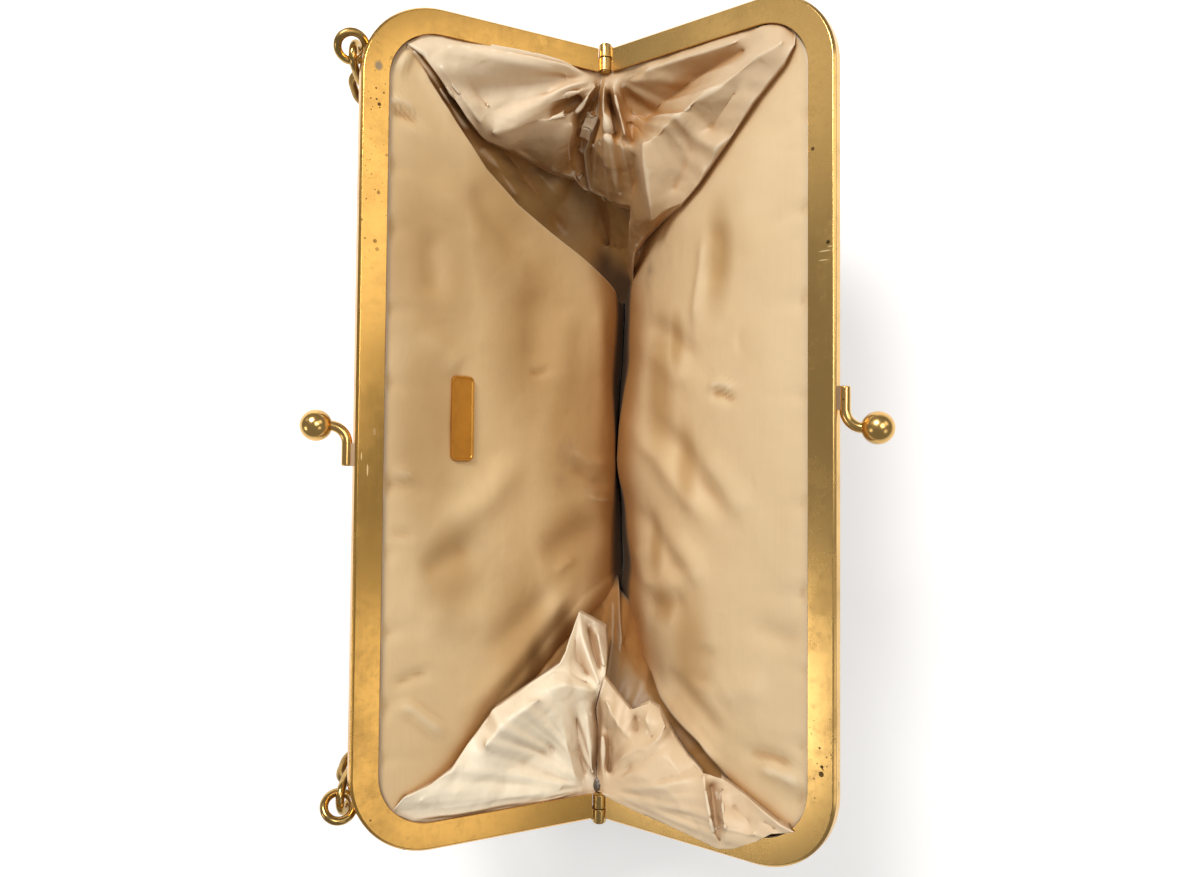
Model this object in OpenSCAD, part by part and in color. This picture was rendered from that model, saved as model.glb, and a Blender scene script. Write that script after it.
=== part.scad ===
// Frame clutch: two hinged brass channel halves with a kiss clasp, a chain handle and a lined soft body.
// X runs across the mouth, Y along the hinge axis and Z up from the table under the base.
// The bag stands open: zero travel is the open rest, and both halves turn up to close.

/* [Frame] */
// Length of the frame along the hinge axis, over its legs
frame_l = 250; // [220:1:280]
// Height of a frame half, from the hinge axis to the outer edge of its rail
frame_h = 79; // [70:1:90]
// Width of the flat mating face
band_w = 8.1; // [7:0.1:10]
// Thickness of the channel, from the mating face to its back
band_t = 4.2; // [3.8:0.1:6]
// Thickness of the two sides of the channel
wall = 0.9; // [0.7:0.1:1.1]
// Thickness of the outer wall of the channel
outer_wall = 1.5; // [1.2:0.1:2]
// Bevel along the outer edges of the channel
bevel = 0.7; // [0.3:0.1:1]
// Outer radius of the frame corners
corner_r = 24; // [18:1:30]
// Angle of each half above the horizontal while the bag stands open
open_a = 32; // [24:1:42]
// Diameter of the cord that wedges the cloth into the channel
edge_cord_d = 1.8; // [1.2:0.1:2]

/* [Hinges] */
// Diameter of the hinge barrels
barrel_d = 4.3; // [3.8:0.1:5]
// Length of a hinge, over the heads of its pin
hinge_l = 10; // [8:0.5:12]
// How far a barrel stands further out than the middle of its leg
hinge_out = 0.6; // [0:0.1:1]
// Diameter of the hinge pins
pin_d = 1.8; // [1.4:0.1:2.2]
// Diameter of the heads of the hinge pins
pin_head_d = 3.4; // [2.8:0.1:3.8]
// Thickness of the heads of the hinge pins
pin_head_t = 0.5; // [0.3:0.1:0.8]
// Radial clearance of the pins in the barrels
pin_fit = 0.05; // [0.02:0.01:0.1]
// Gap between two barrels of a hinge
barrel_gap = 0.2; // [0.1:0.05:0.4]
// Distance from the hinge axis to the cut ends of the legs
leg_end = 3.2; // [2.8:0.1:4]

/* [Clasp] */
// Diameter of the clasp balls
ball_d = 9; // [7:0.5:11]
// Diameter of the bent clasp stems
stem_d = 3; // [2.4:0.1:3.6]
// Bend radius of the clasp stems
stem_bend = 5; // [4:0.5:6]
// Length of the foot of a stem along the rail
foot_l = 6.5; // [5:0.5:9]
// Thickness of the brazed pad under a stem foot
pad_t = 0.4; // [0.3:0.1:0.8]
// Distance from the axis of a stem foot to the centre of its ball
ball_reach = 8.6; // [8:0.1:10]
// Gap left between the two balls when they stand side by side in the closed clasp
kiss_gap = 0.3; // [0.2:0.1:0.6]
// Place of the clasp along the rails, from the middle
clasp_y = -1.4; // [-6:0.1:6]

/* [Chain] */
// Wire diameter of the chain links
link_wire = 2.5; // [2:0.1:3]
// Outer length of a chain link
link_l = 14; // [12:0.5:16]
// Outer width of a chain link
link_w = 11; // [10:0.5:12]
// Play between two links of the chain
link_play = 0.3; // [0.1:0.1:0.5]
// Mean radius of the soldered chain loops
loop_r = 3.5; // [3.2:0.1:4.2]
// Wire diameter of the soldered chain loops
loop_wire = 2.2; // [1.8:0.1:2.4]
// Distance of the chain loops from the ends of the frame
loop_in = 15; // [12:0.5:20]
// Slackness of the hanging chain: half its span over its catenary constant
chain_slack = 1.36; // [1.1:0.02:1.4]

/* [Body] */
// Height of the hinge axis above the table
hinge_h = 62; // [58:1:80]
// Width of the flat base panel
base_w = 46; // [36:1:56]
// Length of the flat base panel
base_l = 210; // [190:1:214]
// Thickness of the base panel
base_t = 1.6; // [1.2:0.1:2.4]
// Corner radius of the base panel
base_r = 9; // [5:0.5:14]
// Thickness of the outer body material
shell_t = 1.2; // [0.8:0.1:1.6]
// Thickness of the lining
lining_t = 0.9; // [0.6:0.1:1.1]
// Gap between the cloth and the metal frame
rim_gap = 0.35; // [0.3:0.05:0.6]
// Gap between two layers of cloth
layer_gap = 0.35; // [0.3:0.05:0.6]
// How far the outer sides swell out
shell_swell = 5; // [0:0.5:7]
// Depth of the inward fold of the outer gussets
shell_fold = 4; // [0:0.5:6]

/* [Lining folds] */
// How far the lining panels puff up into the mouth
crown = 9; // [4:0.5:11]
// How far the lining panels sink beyond their diagonal end folds
end_sink = 2.5; // [0.5:0.5:3]
// Half of the length between the two diagonal folds, at the bottom crease
fold_half = 45; // [35:1:55]
// Distance of a diagonal fold from the end of its panel, at the rim
fold_start = 3; // [2:0.5:6]
// Distance from the end of the outer body to the end of the lining, at the bottom crease
lining_short = 12; // [8:0.5:16]
// Depth of the inward bulge of the lining gussets
gusset_fold = 32; // [24:1:36]
// Depth of the gathers under the hinges
gather_d = 2.4; // [1:0.1:3.5]
// Width of the gathered zone, as a share of the gusset's width
gather_w = 0.3; // [0.2:0.05:0.5]

/* [Label plate] */
// Length of the bare label plate
plate_l = 26; // [20:0.5:32]
// Width of the bare label plate
plate_w = 8; // [6:0.5:10]
// Thickness of the bare label plate
plate_t = 0.8; // [0.5:0.1:1.2]
// Width of the raised lip round the label plate
plate_lip = 0.6; // [0.4:0.1:1]
// Height of the label plate over the lining that it is glued to
plate_seat = 0.1; // [0.1:0.05:0.3]
// Place of the label plate along the hinge axis, from the middle
plate_y = 2; // [-20:1:20]
// Place of the label plate down the lining panel, as a share of its height
plate_v = 0.27; // [0.2:0.01:0.4]

/* [Hidden] */
$fn = 72;
// Side of the body that a piece belongs to
LEFT = -1;
RIGHT = 1;
FRONT = -1;
REAR = 1;
// Metal and cloth colours
brass = [0.80, 0.62, 0.32];
gold = [0.74, 0.54, 0.24];
satin = [0.84, 0.70, 0.54];
leather = [0.30, 0.17, 0.11];
paper = [0.70, 0.62, 0.50];
// Middle of the corner arcs, in a half's own plane
corner_x = frame_h - corner_r;
corner_y = frame_l / 2 - corner_r;
inner_r = corner_r - band_w;
// Middle of the hinge barrels along the axis
hinge_y = frame_l / 2 - band_w / 2 + hinge_out;
// Axis of the clasp feet and the tilt that brings the balls clear of the mating plane
foot_x = frame_h + pad_t + stem_d / 2;
foot_z = -band_t / 2;
ball_drop = ball_d / 2 + kiss_gap / 2 - band_t / 2;
clasp_tilt = asin(ball_drop / ball_reach);
// Chain loops: their place on the corner arcs and how far they sit below the mating face
loop_y = frame_l / 2 - loop_in;
loop_wall = corner_x + sqrt(pow(corner_r, 2) - pow(max(0, loop_y - corner_y), 2));
loop_x = loop_wall + loop_r - loop_wire / 4;
loop_drop = loop_r + loop_wire / 2 + layer_gap;
// Cloth rims, measured inward from the inner edge of the frame
shell_inset = rim_gap + shell_t;
lining_inset = shell_inset + layer_gap + lining_t;
lining_dip = wall + layer_gap;
shell_dip = lining_dip + lining_t + 2 * layer_gap;
// Ends of the body panels at their bottom edges
shell_end = base_l / 2 - shell_t - layer_gap;
lining_end = shell_end - lining_short;
// Bottom crease of the lining, above the base panel
crease_z = base_t + layer_gap + lining_t;
// How far the cloth drops and draws in under the hinges
pinch_drop = barrel_d / 2 + layer_gap + 0.5;
pinch_in = hinge_l / 2 - band_w / 2 + layer_gap;
pinch_len = 9;
// Share of a panel's height at which its gusset starts under the corner
seam_top = 0.06;
// How quickly the inward fold of a gusset fades towards its corners
fold_taper = 1.1;
// Share of a lining panel's columns that lies between its diagonal folds
fold_u = 0.7;
// Rows and columns of the cloth sheets
panel_cols = 26;
panel_rows = 14;
gusset_cols = 34;
gusset_rows = 12;

// Point given in a half's own plane: s out from the hinge axis, y along it and q below the mating face
function on_half(side, s, y, q) = [
    side * (s * cos(open_a) + q * sin(open_a)),
    y,
    hinge_h + s * sin(open_a) - q * cos(open_a)];
function mix(a, b, t) = a + (b - a) * t;
function smooth(t) = let (c = min(1, max(0, t))) c * c * (3 - 2 * c);
function ease(t) = exp(-t * t);
// Distance of a corner arc's point from the hinge axis, for a place y along the rail
function rim_s(y, inset) = let (r = inner_r - inset, d = max(0, abs(y) - corner_y))
    corner_x + sqrt(max(0, r * r - d * d));
// Half length of a panel's rim: it ends in the middle of each corner arc
function rim_end(inset) = corner_y + (inner_r - inset) * sin(45);

// Rim of a gusset in its half's plane: t is 0 at the middle of the corner arc and 1 under the hinge
function gusset_rim_at(side, t, inset, q) =
    let (r = inner_r - inset,
        arc = r * PI / 4,
        run = t * (arc + corner_x),
        turn = 45 + min(run, arc) / r * 180 / PI,
        s = corner_x + r * cos(turn) - max(0, run - arc),
        y = corner_y + r * sin(turn),
        pinch = ease(s / pinch_len))
    on_half(side, max(0, s), y - pinch_in * pinch, q * (1 - pinch)) - [0, 0, pinch_drop * pinch];

// Inner side of the left shell panel: u runs along the hinge axis, v from the rim down to the base
function shell_panel(u, v) =
    let (y_rim = u * rim_end(rim_gap),
        rim = on_half(LEFT, rim_s(y_rim, rim_gap), y_rim, shell_dip),
        foot = [-base_w / 2 + rim_gap + shell_t, u * shell_end, base_t + rim_gap + shell_t],
        swell = shell_swell * sin(180 * v) * (1 - pow(abs(u), 4)))
    mix(rim, foot, v) + swell * [-cos(open_a), 0, -sin(open_a)];

// Place along the hinge axis on a lining panel: the columns past fold_u lie beyond its diagonal folds
function lining_y(u, v) =
    let (end_y = mix(rim_end(lining_inset), lining_end, v),
        fold_y = mix(rim_end(lining_inset) - fold_start, fold_half, smooth(v)),
        past = max(0, abs(u) - fold_u) / (1 - fold_u))
    sign(u) * (abs(u) < fold_u ? fold_y * abs(u) / fold_u : mix(fold_y, end_y, past));

// Top side of the left lining panel, puffed up between its two diagonal folds
function lining_panel(u, v) =
    let (y = lining_y(u, v),
        y_rim = lining_y(u, 0),
        rim = on_half(LEFT, rim_s(y_rim, rim_gap), y_rim, lining_dip),
        foot = [-layer_gap, lining_y(u, 1), crease_z],
        here = mix(rim, foot, v),
        beyond = smooth((abs(u) - fold_u) / (1 - fold_u) * 1.6),
        puff = sin(180 * pow(v, 0.85)) * mix(crown, -end_sink, beyond))
    [here.x, y, here.z] + puff * [cos(open_a), 0, sin(open_a)];

// Inner side of a rear gusset: u runs from the left corner under the hinge to the right corner
function gusset(u, v, rim, seam, fold) = mix(rim, seam, v)
    - [0, fold * sin(180 * pow(v, 0.8)) * (1 - pow(abs(u), fold_taper)), 0];
function seam_v(u) = mix(1, seam_top, pow(abs(u), 1.25));
function side_of(u) = u < 0 ? LEFT : RIGHT;
// Point of a left panel taken to the side that a gusset's column lies on
function to_side(u, p) = [-side_of(u) * p.x, p.y, p.z];

function shell_gusset(u, v) = gusset(u, v,
    gusset_rim_at(side_of(u), 1 - abs(u), shell_inset, shell_dip),
    to_side(u, shell_panel(1, seam_v(u))) + [0, layer_gap, 0], shell_fold);
function lining_gusset(u, v) = gusset(u, v,
    gusset_rim_at(side_of(u), 1 - abs(u), lining_inset, wall / 2),
    to_side(u, lining_panel(1, seam_v(u))) + [0, layer_gap, layer_gap], gusset_fold);
// Every second column is drawn in under the hinge, which makes the gathers
function gathered(i, u, v) = lining_gusset(u, v)
    - [0, (i % 2) * gather_d * ease(u / gather_w) * (1 - v) * (1 - v), 0];

// Evenly spread columns, or columns drawn together towards the middle
function even(i, n) = 2 * i / n - 1;
function drawn(i, n) = let (t = even(i, n)) sign(t) * pow(abs(t), 1.35);

// Closed sheet between a grid of points and the same grid moved by its thickness
module sheet(grid, thick) {
    n = len(grid);
    m = len(grid[0]);
    top = [for (row = grid) for (p = row) p];
    under = [for (p = top) p + thick];
    rim = concat([for (j = [0 : m - 1]) j],
        [for (i = [1 : n - 1]) i * m + m - 1],
        [for (j = [m - 2 : -1 : 0]) (n - 1) * m + j],
        [for (i = [n - 2 : -1 : 1]) i * m]);
    skin = [for (i = [0 : n - 2]) for (j = [0 : m - 2])
        let (a = i * m + j, b = a + 1, c = a + m + 1, d = a + m) each [[c, b, a], [d, c, a]]];
    back = [for (f = skin) [f[2] + n * m, f[1] + n * m, f[0] + n * m]];
    edge = [for (k = [0 : len(rim) - 1])
        let (a = rim[k], b = rim[(k + 1) % len(rim)]) each [[a, b, a + n * m], [b, b + n * m, a + n * m]]];
    polyhedron(concat(top, under), concat(skin, back, edge), convexity = 6);
}

// Puts what is drawn in a half's own plane (X out, Y along the hinge, Z up from the face) in its open place
module place_half(side) {
    translate([0, 0, hinge_h]) {
        if (side == LEFT) mirror([1, 0, 0]) rotate([0, -open_a, 0]) children();
        else rotate([0, -open_a, 0]) children();
    }
}

// Runs a profile round a half: down one leg, round two corners and along the rail
module run_round(leg_from) {
    leg = corner_x - leg_from;
    translate([frame_h, 0, 0]) rotate([90, 0, 0])
        linear_extrude(2 * corner_y, center = true) children();
    for (end = [FRONT, REAR]) {
        translate([corner_x, end * corner_y, 0]) rotate([0, 0, end == REAR ? 0 : -90])
            rotate_extrude(angle = 90) translate([corner_r, 0]) children();
        translate([leg_from + leg / 2, end * frame_l / 2, 0]) rotate([0, 0, end * 90]) rotate([90, 0, 0])
            linear_extrude(leg, center = true) children();
    }
}

// Section of the channel, open towards the bag: X is in from the outer edge, Y up from the back
module channel_section() {
    polygon([[-bevel, 0], [-band_w, 0], [-band_w, -wall], [-outer_wall, -wall],
        [-outer_wall, wall - band_t], [-band_w, wall - band_t], [-band_w, -band_t],
        [-bevel, -band_t], [0, bevel - band_t], [0, -bevel]]);
}

module frame_half(side) {
    color(brass) place_half(side) run_round(leg_end) channel_section();
}

module edge_cord(side) {
    color(paper) place_half(side) run_round(leg_end + wall)
        translate([-outer_wall - layer_gap - edge_cord_d / 2, -band_t / 2]) circle(d = edge_cord_d);
}

// Barrel with the tab that joins it to the cut end of its leg
module knuckle(end, outer) {
    long = hinge_l / 2 - pin_head_t - barrel_gap;
    near = outer ? barrel_gap / 2 : -barrel_gap / 2 - long;
    tab_t = band_t - wall;
    translate([0, end * hinge_y, 0]) mirror([0, end == FRONT ? 1 : 0, 0]) difference() {
        union() {
            translate([0, near + long, 0]) rotate([90, 0, 0]) cylinder(d = barrel_d, h = long);
            intersection() {
                translate([0, near, -tab_t]) cube([leg_end, long, tab_t]);
                translate([0, -hinge_out - band_w / 2, -band_t]) cube([leg_end, band_w, band_t]);
            }
        }
        translate([0, hinge_l, 0]) rotate([90, 0, 0]) cylinder(d = pin_d + 2 * pin_fit, h = 2 * hinge_l);
    }
}

// At the rear the right half carries the outer barrel, and at the front the inner one
module knuckles(side) {
    color(brass) place_half(side) {
        knuckle(REAR, side == RIGHT);
        knuckle(FRONT, side == LEFT);
    }
}

// Pin with a rounded head at each end
module hinge_pin(end) {
    color(gold) translate([0, end * hinge_y, hinge_h]) rotate([90, 0, 0]) {
        cylinder(d = pin_d, h = hinge_l - pin_head_t, center = true);
        for (tip = [-1, 1]) translate([0, 0, tip * (hinge_l - pin_head_t) / 2])
            cylinder(d = pin_head_d, h = pin_head_t, center = true);
    }
}

// Puts the clasp in its place: the foot lies along the rail and the ball end tilts away from the face
module place_clasp(side) {
    place_half(side) translate([foot_x, clasp_y, foot_z]) rotate([0, clasp_tilt, 0])
        mirror([0, side == RIGHT ? 1 : 0, 0]) children();
}

// Peg end of a stem, which the ball is drilled for
module stem_peg(length) {
    translate([stem_bend, 0, 0]) rotate([0, 90, 0]) cylinder(d = stem_d, h = length);
}

module clasp_stem(side) {
    color(brass) place_clasp(side) {
        translate([0, -stem_bend, 0]) rotate([90, 0, 0]) cylinder(d = stem_d, h = foot_l);
        translate([stem_bend, -stem_bend, 0]) rotate([0, 0, 90])
            rotate_extrude(angle = 90) translate([stem_bend, 0]) circle(d = stem_d);
        stem_peg(ball_reach - stem_bend - layer_gap);
    }
}

module clasp_ball(side) {
    color(brass) place_clasp(side) difference() {
        translate([ball_reach, 0, 0]) sphere(d = ball_d);
        stem_peg(ball_reach - stem_bend);
        translate([stem_bend, -stem_bend, 0]) rotate([0, 0, 90])
            rotate_extrude(angle = 90) translate([stem_bend, 0]) circle(d = stem_d);
    }
}

// Brazed pad that fills the line between a stem foot and the outer wall of the rail
module clasp_pad(side) {
    pad_h = band_t - 2 * bevel;
    tip = side == RIGHT ? clasp_y + stem_bend + foot_l : clasp_y - stem_bend;
    color(gold) place_half(side) difference() {
        translate([frame_h, tip - foot_l, foot_z - pad_h / 2]) cube([pad_t + stem_d / 4, foot_l, pad_h]);
        translate([foot_x, tip + layer_gap, foot_z]) rotate([90, 0, 0])
            cylinder(d = stem_d, h = foot_l + 2 * layer_gap);
    }
}

// Loop soldered into the outer wall of a corner
module chain_loop(end) {
    color(brass) place_half(LEFT) difference() {
        translate([loop_x, end * loop_y, -loop_drop]) rotate([90, 0, 0])
            rotate_extrude() translate([loop_r, 0]) circle(d = loop_wire);
        translate([corner_x, end * corner_y, -band_t]) cylinder(r = corner_r, h = band_t);
    }
}

// Oval link along X, bent from round wire
module link(inner) {
    bend = (link_w - link_wire) / 2;
    straight = inner + link_wire - 2 * bend;
    for (end = [-1, 1]) {
        translate([end * straight / 2, 0, 0]) rotate([0, 0, end * 90 - 180])
            rotate_extrude(angle = 180) translate([bend, 0]) circle(d = link_wire);
        translate([-straight / 2, end * bend, 0]) rotate([0, 90, 0]) cylinder(d = link_wire, h = straight);
    }
}

// Links along a catenary between the two loops, each turned a quarter against the last.
// Their count is odd, so that the first and the last link both lie across the loops that they hang in.
module chain_links() {
    hang = on_half(LEFT, loop_x, 0, loop_drop);
    seat = loop_r - loop_wire / 2 - link_play;
    flat = loop_y / chain_slack;
    half_len = flat * (exp(chain_slack) - exp(-chain_slack)) / 2;
    count = 2 * round(half_len / (link_l - 2 * link_wire) - 0.5) + 1;
    pitch = 2 * half_len / count;
    top = flat * (exp(chain_slack) + exp(-chain_slack)) / 2;
    color(brass) for (k = [0 : count - 1]) {
        run = (k + 0.5) * pitch - half_len;
        y = flat * ln(run / flat + sqrt(1 + pow(run / flat, 2)));
        z = hang.z - seat - top + sqrt(flat * flat + run * run);
        translate([hang.x, y, z]) rotate([atan(run / flat), 0, 0]) rotate([0, 0, 90])
            rotate([90 * ((k + 1) % 2), 0, 0]) link(pitch + link_play);
    }
}

// Flat bottom panel with rounded corners
module shell_base() {
    color(leather) linear_extrude(base_t) {
        square([base_w - 2 * base_r, base_l], center = true);
        square([base_w, base_l - 2 * base_r], center = true);
        for (x = [-1, 1]) for (y = [-1, 1])
            translate([x * (base_w / 2 - base_r), y * (base_l / 2 - base_r)]) circle(r = base_r);
    }
}

module panel_sheet(thick, lined) {
    sheet([for (i = [0 : panel_cols]) [for (j = [0 : panel_rows])
        let (u = even(i, panel_cols), v = j / panel_rows)
        lined ? lining_panel(u, v) : shell_panel(u, v)]], thick);
}

module shell_panel_half() {
    color(leather) panel_sheet(on_half(LEFT, 0, 0, shell_t) - on_half(LEFT, 0, 0, 0), false);
}

module lining_panel_half() {
    color(satin) panel_sheet(on_half(LEFT, 0, 0, lining_t) - on_half(LEFT, 0, 0, 0), true);
}

module shell_gusset_sheet() {
    color(leather) sheet([for (i = [0 : gusset_cols]) let (u = drawn(i, gusset_cols))
        [for (j = [0 : gusset_rows]) shell_gusset(u, j / gusset_rows)]], [0, shell_t, 0]);
}

module lining_gusset_sheet() {
    color(satin) sheet([for (i = [0 : gusset_cols]) let (u = drawn(i, gusset_cols))
        [for (j = [0 : gusset_rows]) gathered(i, u, j / gusset_rows)]], [0, lining_t, 0]);
}

module rounded_plate(inset, from, to) {
    corner = plate_w / 5 - inset / 2;
    translate([0, 0, from]) linear_extrude(to - from) {
        square([plate_w - 2 * inset - 2 * corner, plate_l - 2 * inset], center = true);
        square([plate_w - 2 * inset, plate_l - 2 * inset - 2 * corner], center = true);
        for (x = [-1, 1]) for (y = [-1, 1])
            translate([x * (plate_w / 2 - inset - corner), y * (plate_l / 2 - inset - corner)])
                circle(r = corner);
    }
}

// Bare plate with a raised lip, laid along the slope of the left lining panel
module label_plate() {
    u = plate_y / mix(rim_end(rim_gap), lining_end, plate_v);
    at = lining_panel(u, plate_v);
    step = lining_panel(u, plate_v + 0.05) - lining_panel(u, plate_v - 0.05);
    slope = atan2(-step.z, step.x);
    color(gold) translate(at) rotate([0, slope, 0]) translate([0, 0, plate_seat]) difference() {
        rounded_plate(0, 0, plate_t);
        rounded_plate(plate_lip, plate_t * 0.7, plate_t * 2);
    }
}

frame_half(LEFT);  // left_frame
frame_half(RIGHT);  // right_frame
knuckles(LEFT);  // left_knuckles
knuckles(RIGHT);  // right_knuckles
hinge_pin(FRONT);  // front_hinge_pin
hinge_pin(REAR);  // rear_hinge_pin
clasp_stem(LEFT);  // left_clasp_stem
clasp_stem(RIGHT);  // right_clasp_stem
clasp_ball(LEFT);  // left_clasp_ball
clasp_ball(RIGHT);  // right_clasp_ball
clasp_pad(LEFT);  // left_clasp_pad
clasp_pad(RIGHT);  // right_clasp_pad
chain_loop(FRONT);  // front_chain_loop
chain_loop(REAR);  // rear_chain_loop
chain_links();
edge_cord(LEFT);  // left_edge_cord
edge_cord(RIGHT);  // right_edge_cord
shell_base();
shell_panel_half();  // shell_left_panel
mirror([1, 0, 0]) shell_panel_half();  // shell_right_panel
mirror([0, 1, 0]) shell_gusset_sheet();  // shell_front_gusset
shell_gusset_sheet();  // shell_rear_gusset
lining_panel_half();  // lining_left_panel
mirror([1, 0, 0]) lining_panel_half();  // lining_right_panel
mirror([0, 1, 0]) lining_gusset_sheet();  // lining_front_gusset
lining_gusset_sheet();  // lining_rear_gusset
label_plate();
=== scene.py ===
"""Dresses the open frame clutch: brass frame, hinges, kiss clasp, chain, lining, body and stage."""

import math
from types import SimpleNamespace

import bmesh
import bpy
from mathutils import Matrix, Vector, noise
from mathutils.bvhtree import BVHTree
from mathutils.geometry import delaunay_2d_cdt


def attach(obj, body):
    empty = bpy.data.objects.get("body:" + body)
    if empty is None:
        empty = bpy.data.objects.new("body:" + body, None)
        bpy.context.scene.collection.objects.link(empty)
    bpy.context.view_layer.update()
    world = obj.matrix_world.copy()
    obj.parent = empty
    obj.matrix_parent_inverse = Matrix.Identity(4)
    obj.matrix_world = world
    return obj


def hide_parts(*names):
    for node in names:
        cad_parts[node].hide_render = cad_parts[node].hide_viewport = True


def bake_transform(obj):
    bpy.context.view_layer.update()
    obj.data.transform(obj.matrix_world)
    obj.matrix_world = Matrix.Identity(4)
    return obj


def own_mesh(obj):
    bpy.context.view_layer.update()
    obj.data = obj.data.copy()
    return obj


bl_info = {
    "name": "Frame Clutch",
    "version": (1, 0, 0),
    "blender": (4, 5, 0),
    "location": "View3D > Sidebar > Clutch",
    "description": "Builds an open frame clutch with a brass frame and a folded satin lining",
    "category": "Object",
}

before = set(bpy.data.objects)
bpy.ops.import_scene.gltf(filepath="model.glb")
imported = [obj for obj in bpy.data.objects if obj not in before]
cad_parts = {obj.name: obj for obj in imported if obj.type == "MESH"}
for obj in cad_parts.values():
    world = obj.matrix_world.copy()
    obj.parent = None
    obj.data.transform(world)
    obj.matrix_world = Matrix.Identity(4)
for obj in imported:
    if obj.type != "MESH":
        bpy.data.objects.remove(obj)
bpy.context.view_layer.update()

MM = 0.001
LEFT, RIGHT = -1, 1
FRONT, REAR = -1, 1
SIDE_NAME = {LEFT: "left", RIGHT: "right"}
END_NAME = {FRONT: "front", REAR: "rear"}
# Photo frame in pixels, and the lens as a focal length in those pixels
PHOTO_W, PHOTO_H, PHOTO_F = 1200, 877, 900
SENSOR_MM = 36
# Camera place in mm, and its pitch, yaw and roll in degrees
CAMERA_AT = Vector((23.74, -12.62, 352.87))
CAMERA_TURN = (-1.831, -4.812, -0.322)


def length(name, description, default):
    """Property for a length in metres."""
    return bpy.props.FloatProperty(name=name, description=description, default=default, unit="LENGTH")


def colour(name, description, default):
    """Property for a colour."""
    return bpy.props.FloatVectorProperty(
        name=name, description=description, default=default, subtype="COLOR", min=0, max=1)


class ClutchSizes(bpy.types.PropertyGroup):
    """Sizes of the clutch."""

    frame_length: length("Frame length", "Length of the frame along the hinge axis", 0.25)
    frame_height: length("Frame height", "From the hinge axis to the outer edge of a rail", 0.079)
    band_width: length("Face width", "Width of the flat mating face", 0.0081)
    band_depth: length("Channel depth", "From the mating face to the back of the channel", 0.0042)
    corner_radius: length("Corner radius", "Outer radius of the frame corners", 0.024)
    open_angle: bpy.props.FloatProperty(
        name="Open angle", description="Rise of each open half above the horizontal",
        default=math.radians(32), subtype="ANGLE")
    hinge_height: length("Hinge height", "Height of the hinge axis over the table", 0.062)
    barrel: length("Barrel", "Diameter of the hinge barrels", 0.0043)
    ball: length("Clasp ball", "Diameter of the clasp balls", 0.009)
    stem: length("Clasp stem", "Diameter of the clasp stems", 0.003)
    link_wire: length("Link wire", "Wire diameter of the chain links", 0.0025)
    crown: length("Lining puff", "How far the lining panels puff up", 0.009)
    cloth: length("Lining thickness", "Thickness of the satin", 0.0004)
    leather: length("Body thickness", "Thickness of the outer body", 0.0012)


class ClutchColours(bpy.types.PropertyGroup):
    """Colours of the clutch."""

    brass: colour("Brass", "Frame metal", (0.80, 0.50, 0.17))
    tarnish: colour("Tarnish", "Dull brown film on the metal", (0.36, 0.20, 0.06))
    gilt: colour("Plate gilt", "Label plate metal", (0.72, 0.37, 0.075))
    satin: colour("Satin", "Lining panels", (0.79, 0.60, 0.36))
    satin_end: colour("Gusset satin", "Lining gussets", (0.76, 0.565, 0.355))
    leather: colour("Leather", "Outer body", (0.085, 0.03, 0.017))
    floor: colour("Floor", "Pale floor", (0.92, 0.92, 0.92))


# Channel section: thickness of its lips and of its outer wall, and the cut of its outer edges, in mm
LIP, OUTER_WALL, EDGE_CUT = 0.9, 1.5, 0.7
# Where a leg ends beside the hinge, and how far the hinge sits out from the middle of the leg, in mm
LEG_END, HINGE_OUT = 2.45, 0.6


def plan():
    """Sizes in millimetres, with the corner centres, inner corner radius and hinge place that follow from them."""
    s = bpy.context.scene.clutch_sizes
    p = SimpleNamespace()
    p.l, p.h = s.frame_length / MM, s.frame_height / MM
    p.band, p.depth = s.band_width / MM, s.band_depth / MM
    p.corner = s.corner_radius / MM
    p.a = s.open_angle
    p.z = s.hinge_height / MM
    p.barrel, p.ball, p.stem = s.barrel / MM, s.ball / MM, s.stem / MM
    p.wire = s.link_wire / MM
    p.crown = s.crown / MM
    p.cx, p.cy = p.h - p.corner, p.l / 2 - p.corner
    p.inner_r = p.corner - p.band
    p.hinge_y = p.l / 2 - p.band / 2 + HINGE_OUT
    return p


# Photo and space ---------------------------------------------------------------------------------


def camera_turn():
    """Rotation from space to the camera's own axes."""
    pitch, yaw, roll = (math.radians(t) for t in CAMERA_TURN)
    return Matrix.Rotation(roll, 3, "Z") @ Matrix.Rotation(yaw, 3, "Y") @ Matrix.Rotation(pitch, 3, "X")


TO_CAMERA = camera_turn()
FROM_CAMERA = TO_CAMERA.transposed()


def on_photo(point):
    """Pixel of the photo at which a point in mm is seen."""
    q = TO_CAMERA @ (Vector(point) - CAMERA_AT)
    return Vector((PHOTO_W / 2 - PHOTO_F * q.x / q.z, PHOTO_H / 2 + PHOTO_F * q.y / q.z))


def sight(u, v):
    """Direction in which the camera sees a pixel."""
    return FROM_CAMERA @ Vector(((u - PHOTO_W / 2) / PHOTO_F, (PHOTO_H / 2 - v) / PHOTO_F, -1))


def seen(u, v, z):
    """Point in mm that is seen at a pixel, at the height z."""
    d = sight(u, v)
    return CAMERA_AT + d * ((z - CAMERA_AT.z) / d.z)


def half_matrix(p, side):
    """Takes a half's own axes (out from the hinge, along it, up from the mating face) to its open place."""
    c, s = math.cos(p.a), math.sin(p.a)
    return Matrix(((side * c, 0, -side * s, 0), (0, 1, 0, 0), (s, 0, c, p.z), (0, 0, 0, 1)))


def on_half(p, side, out, y, below):
    """Point of a half in its open place, given in its own axes."""
    return half_matrix(p, side) @ Vector((out, y, -below))


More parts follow.
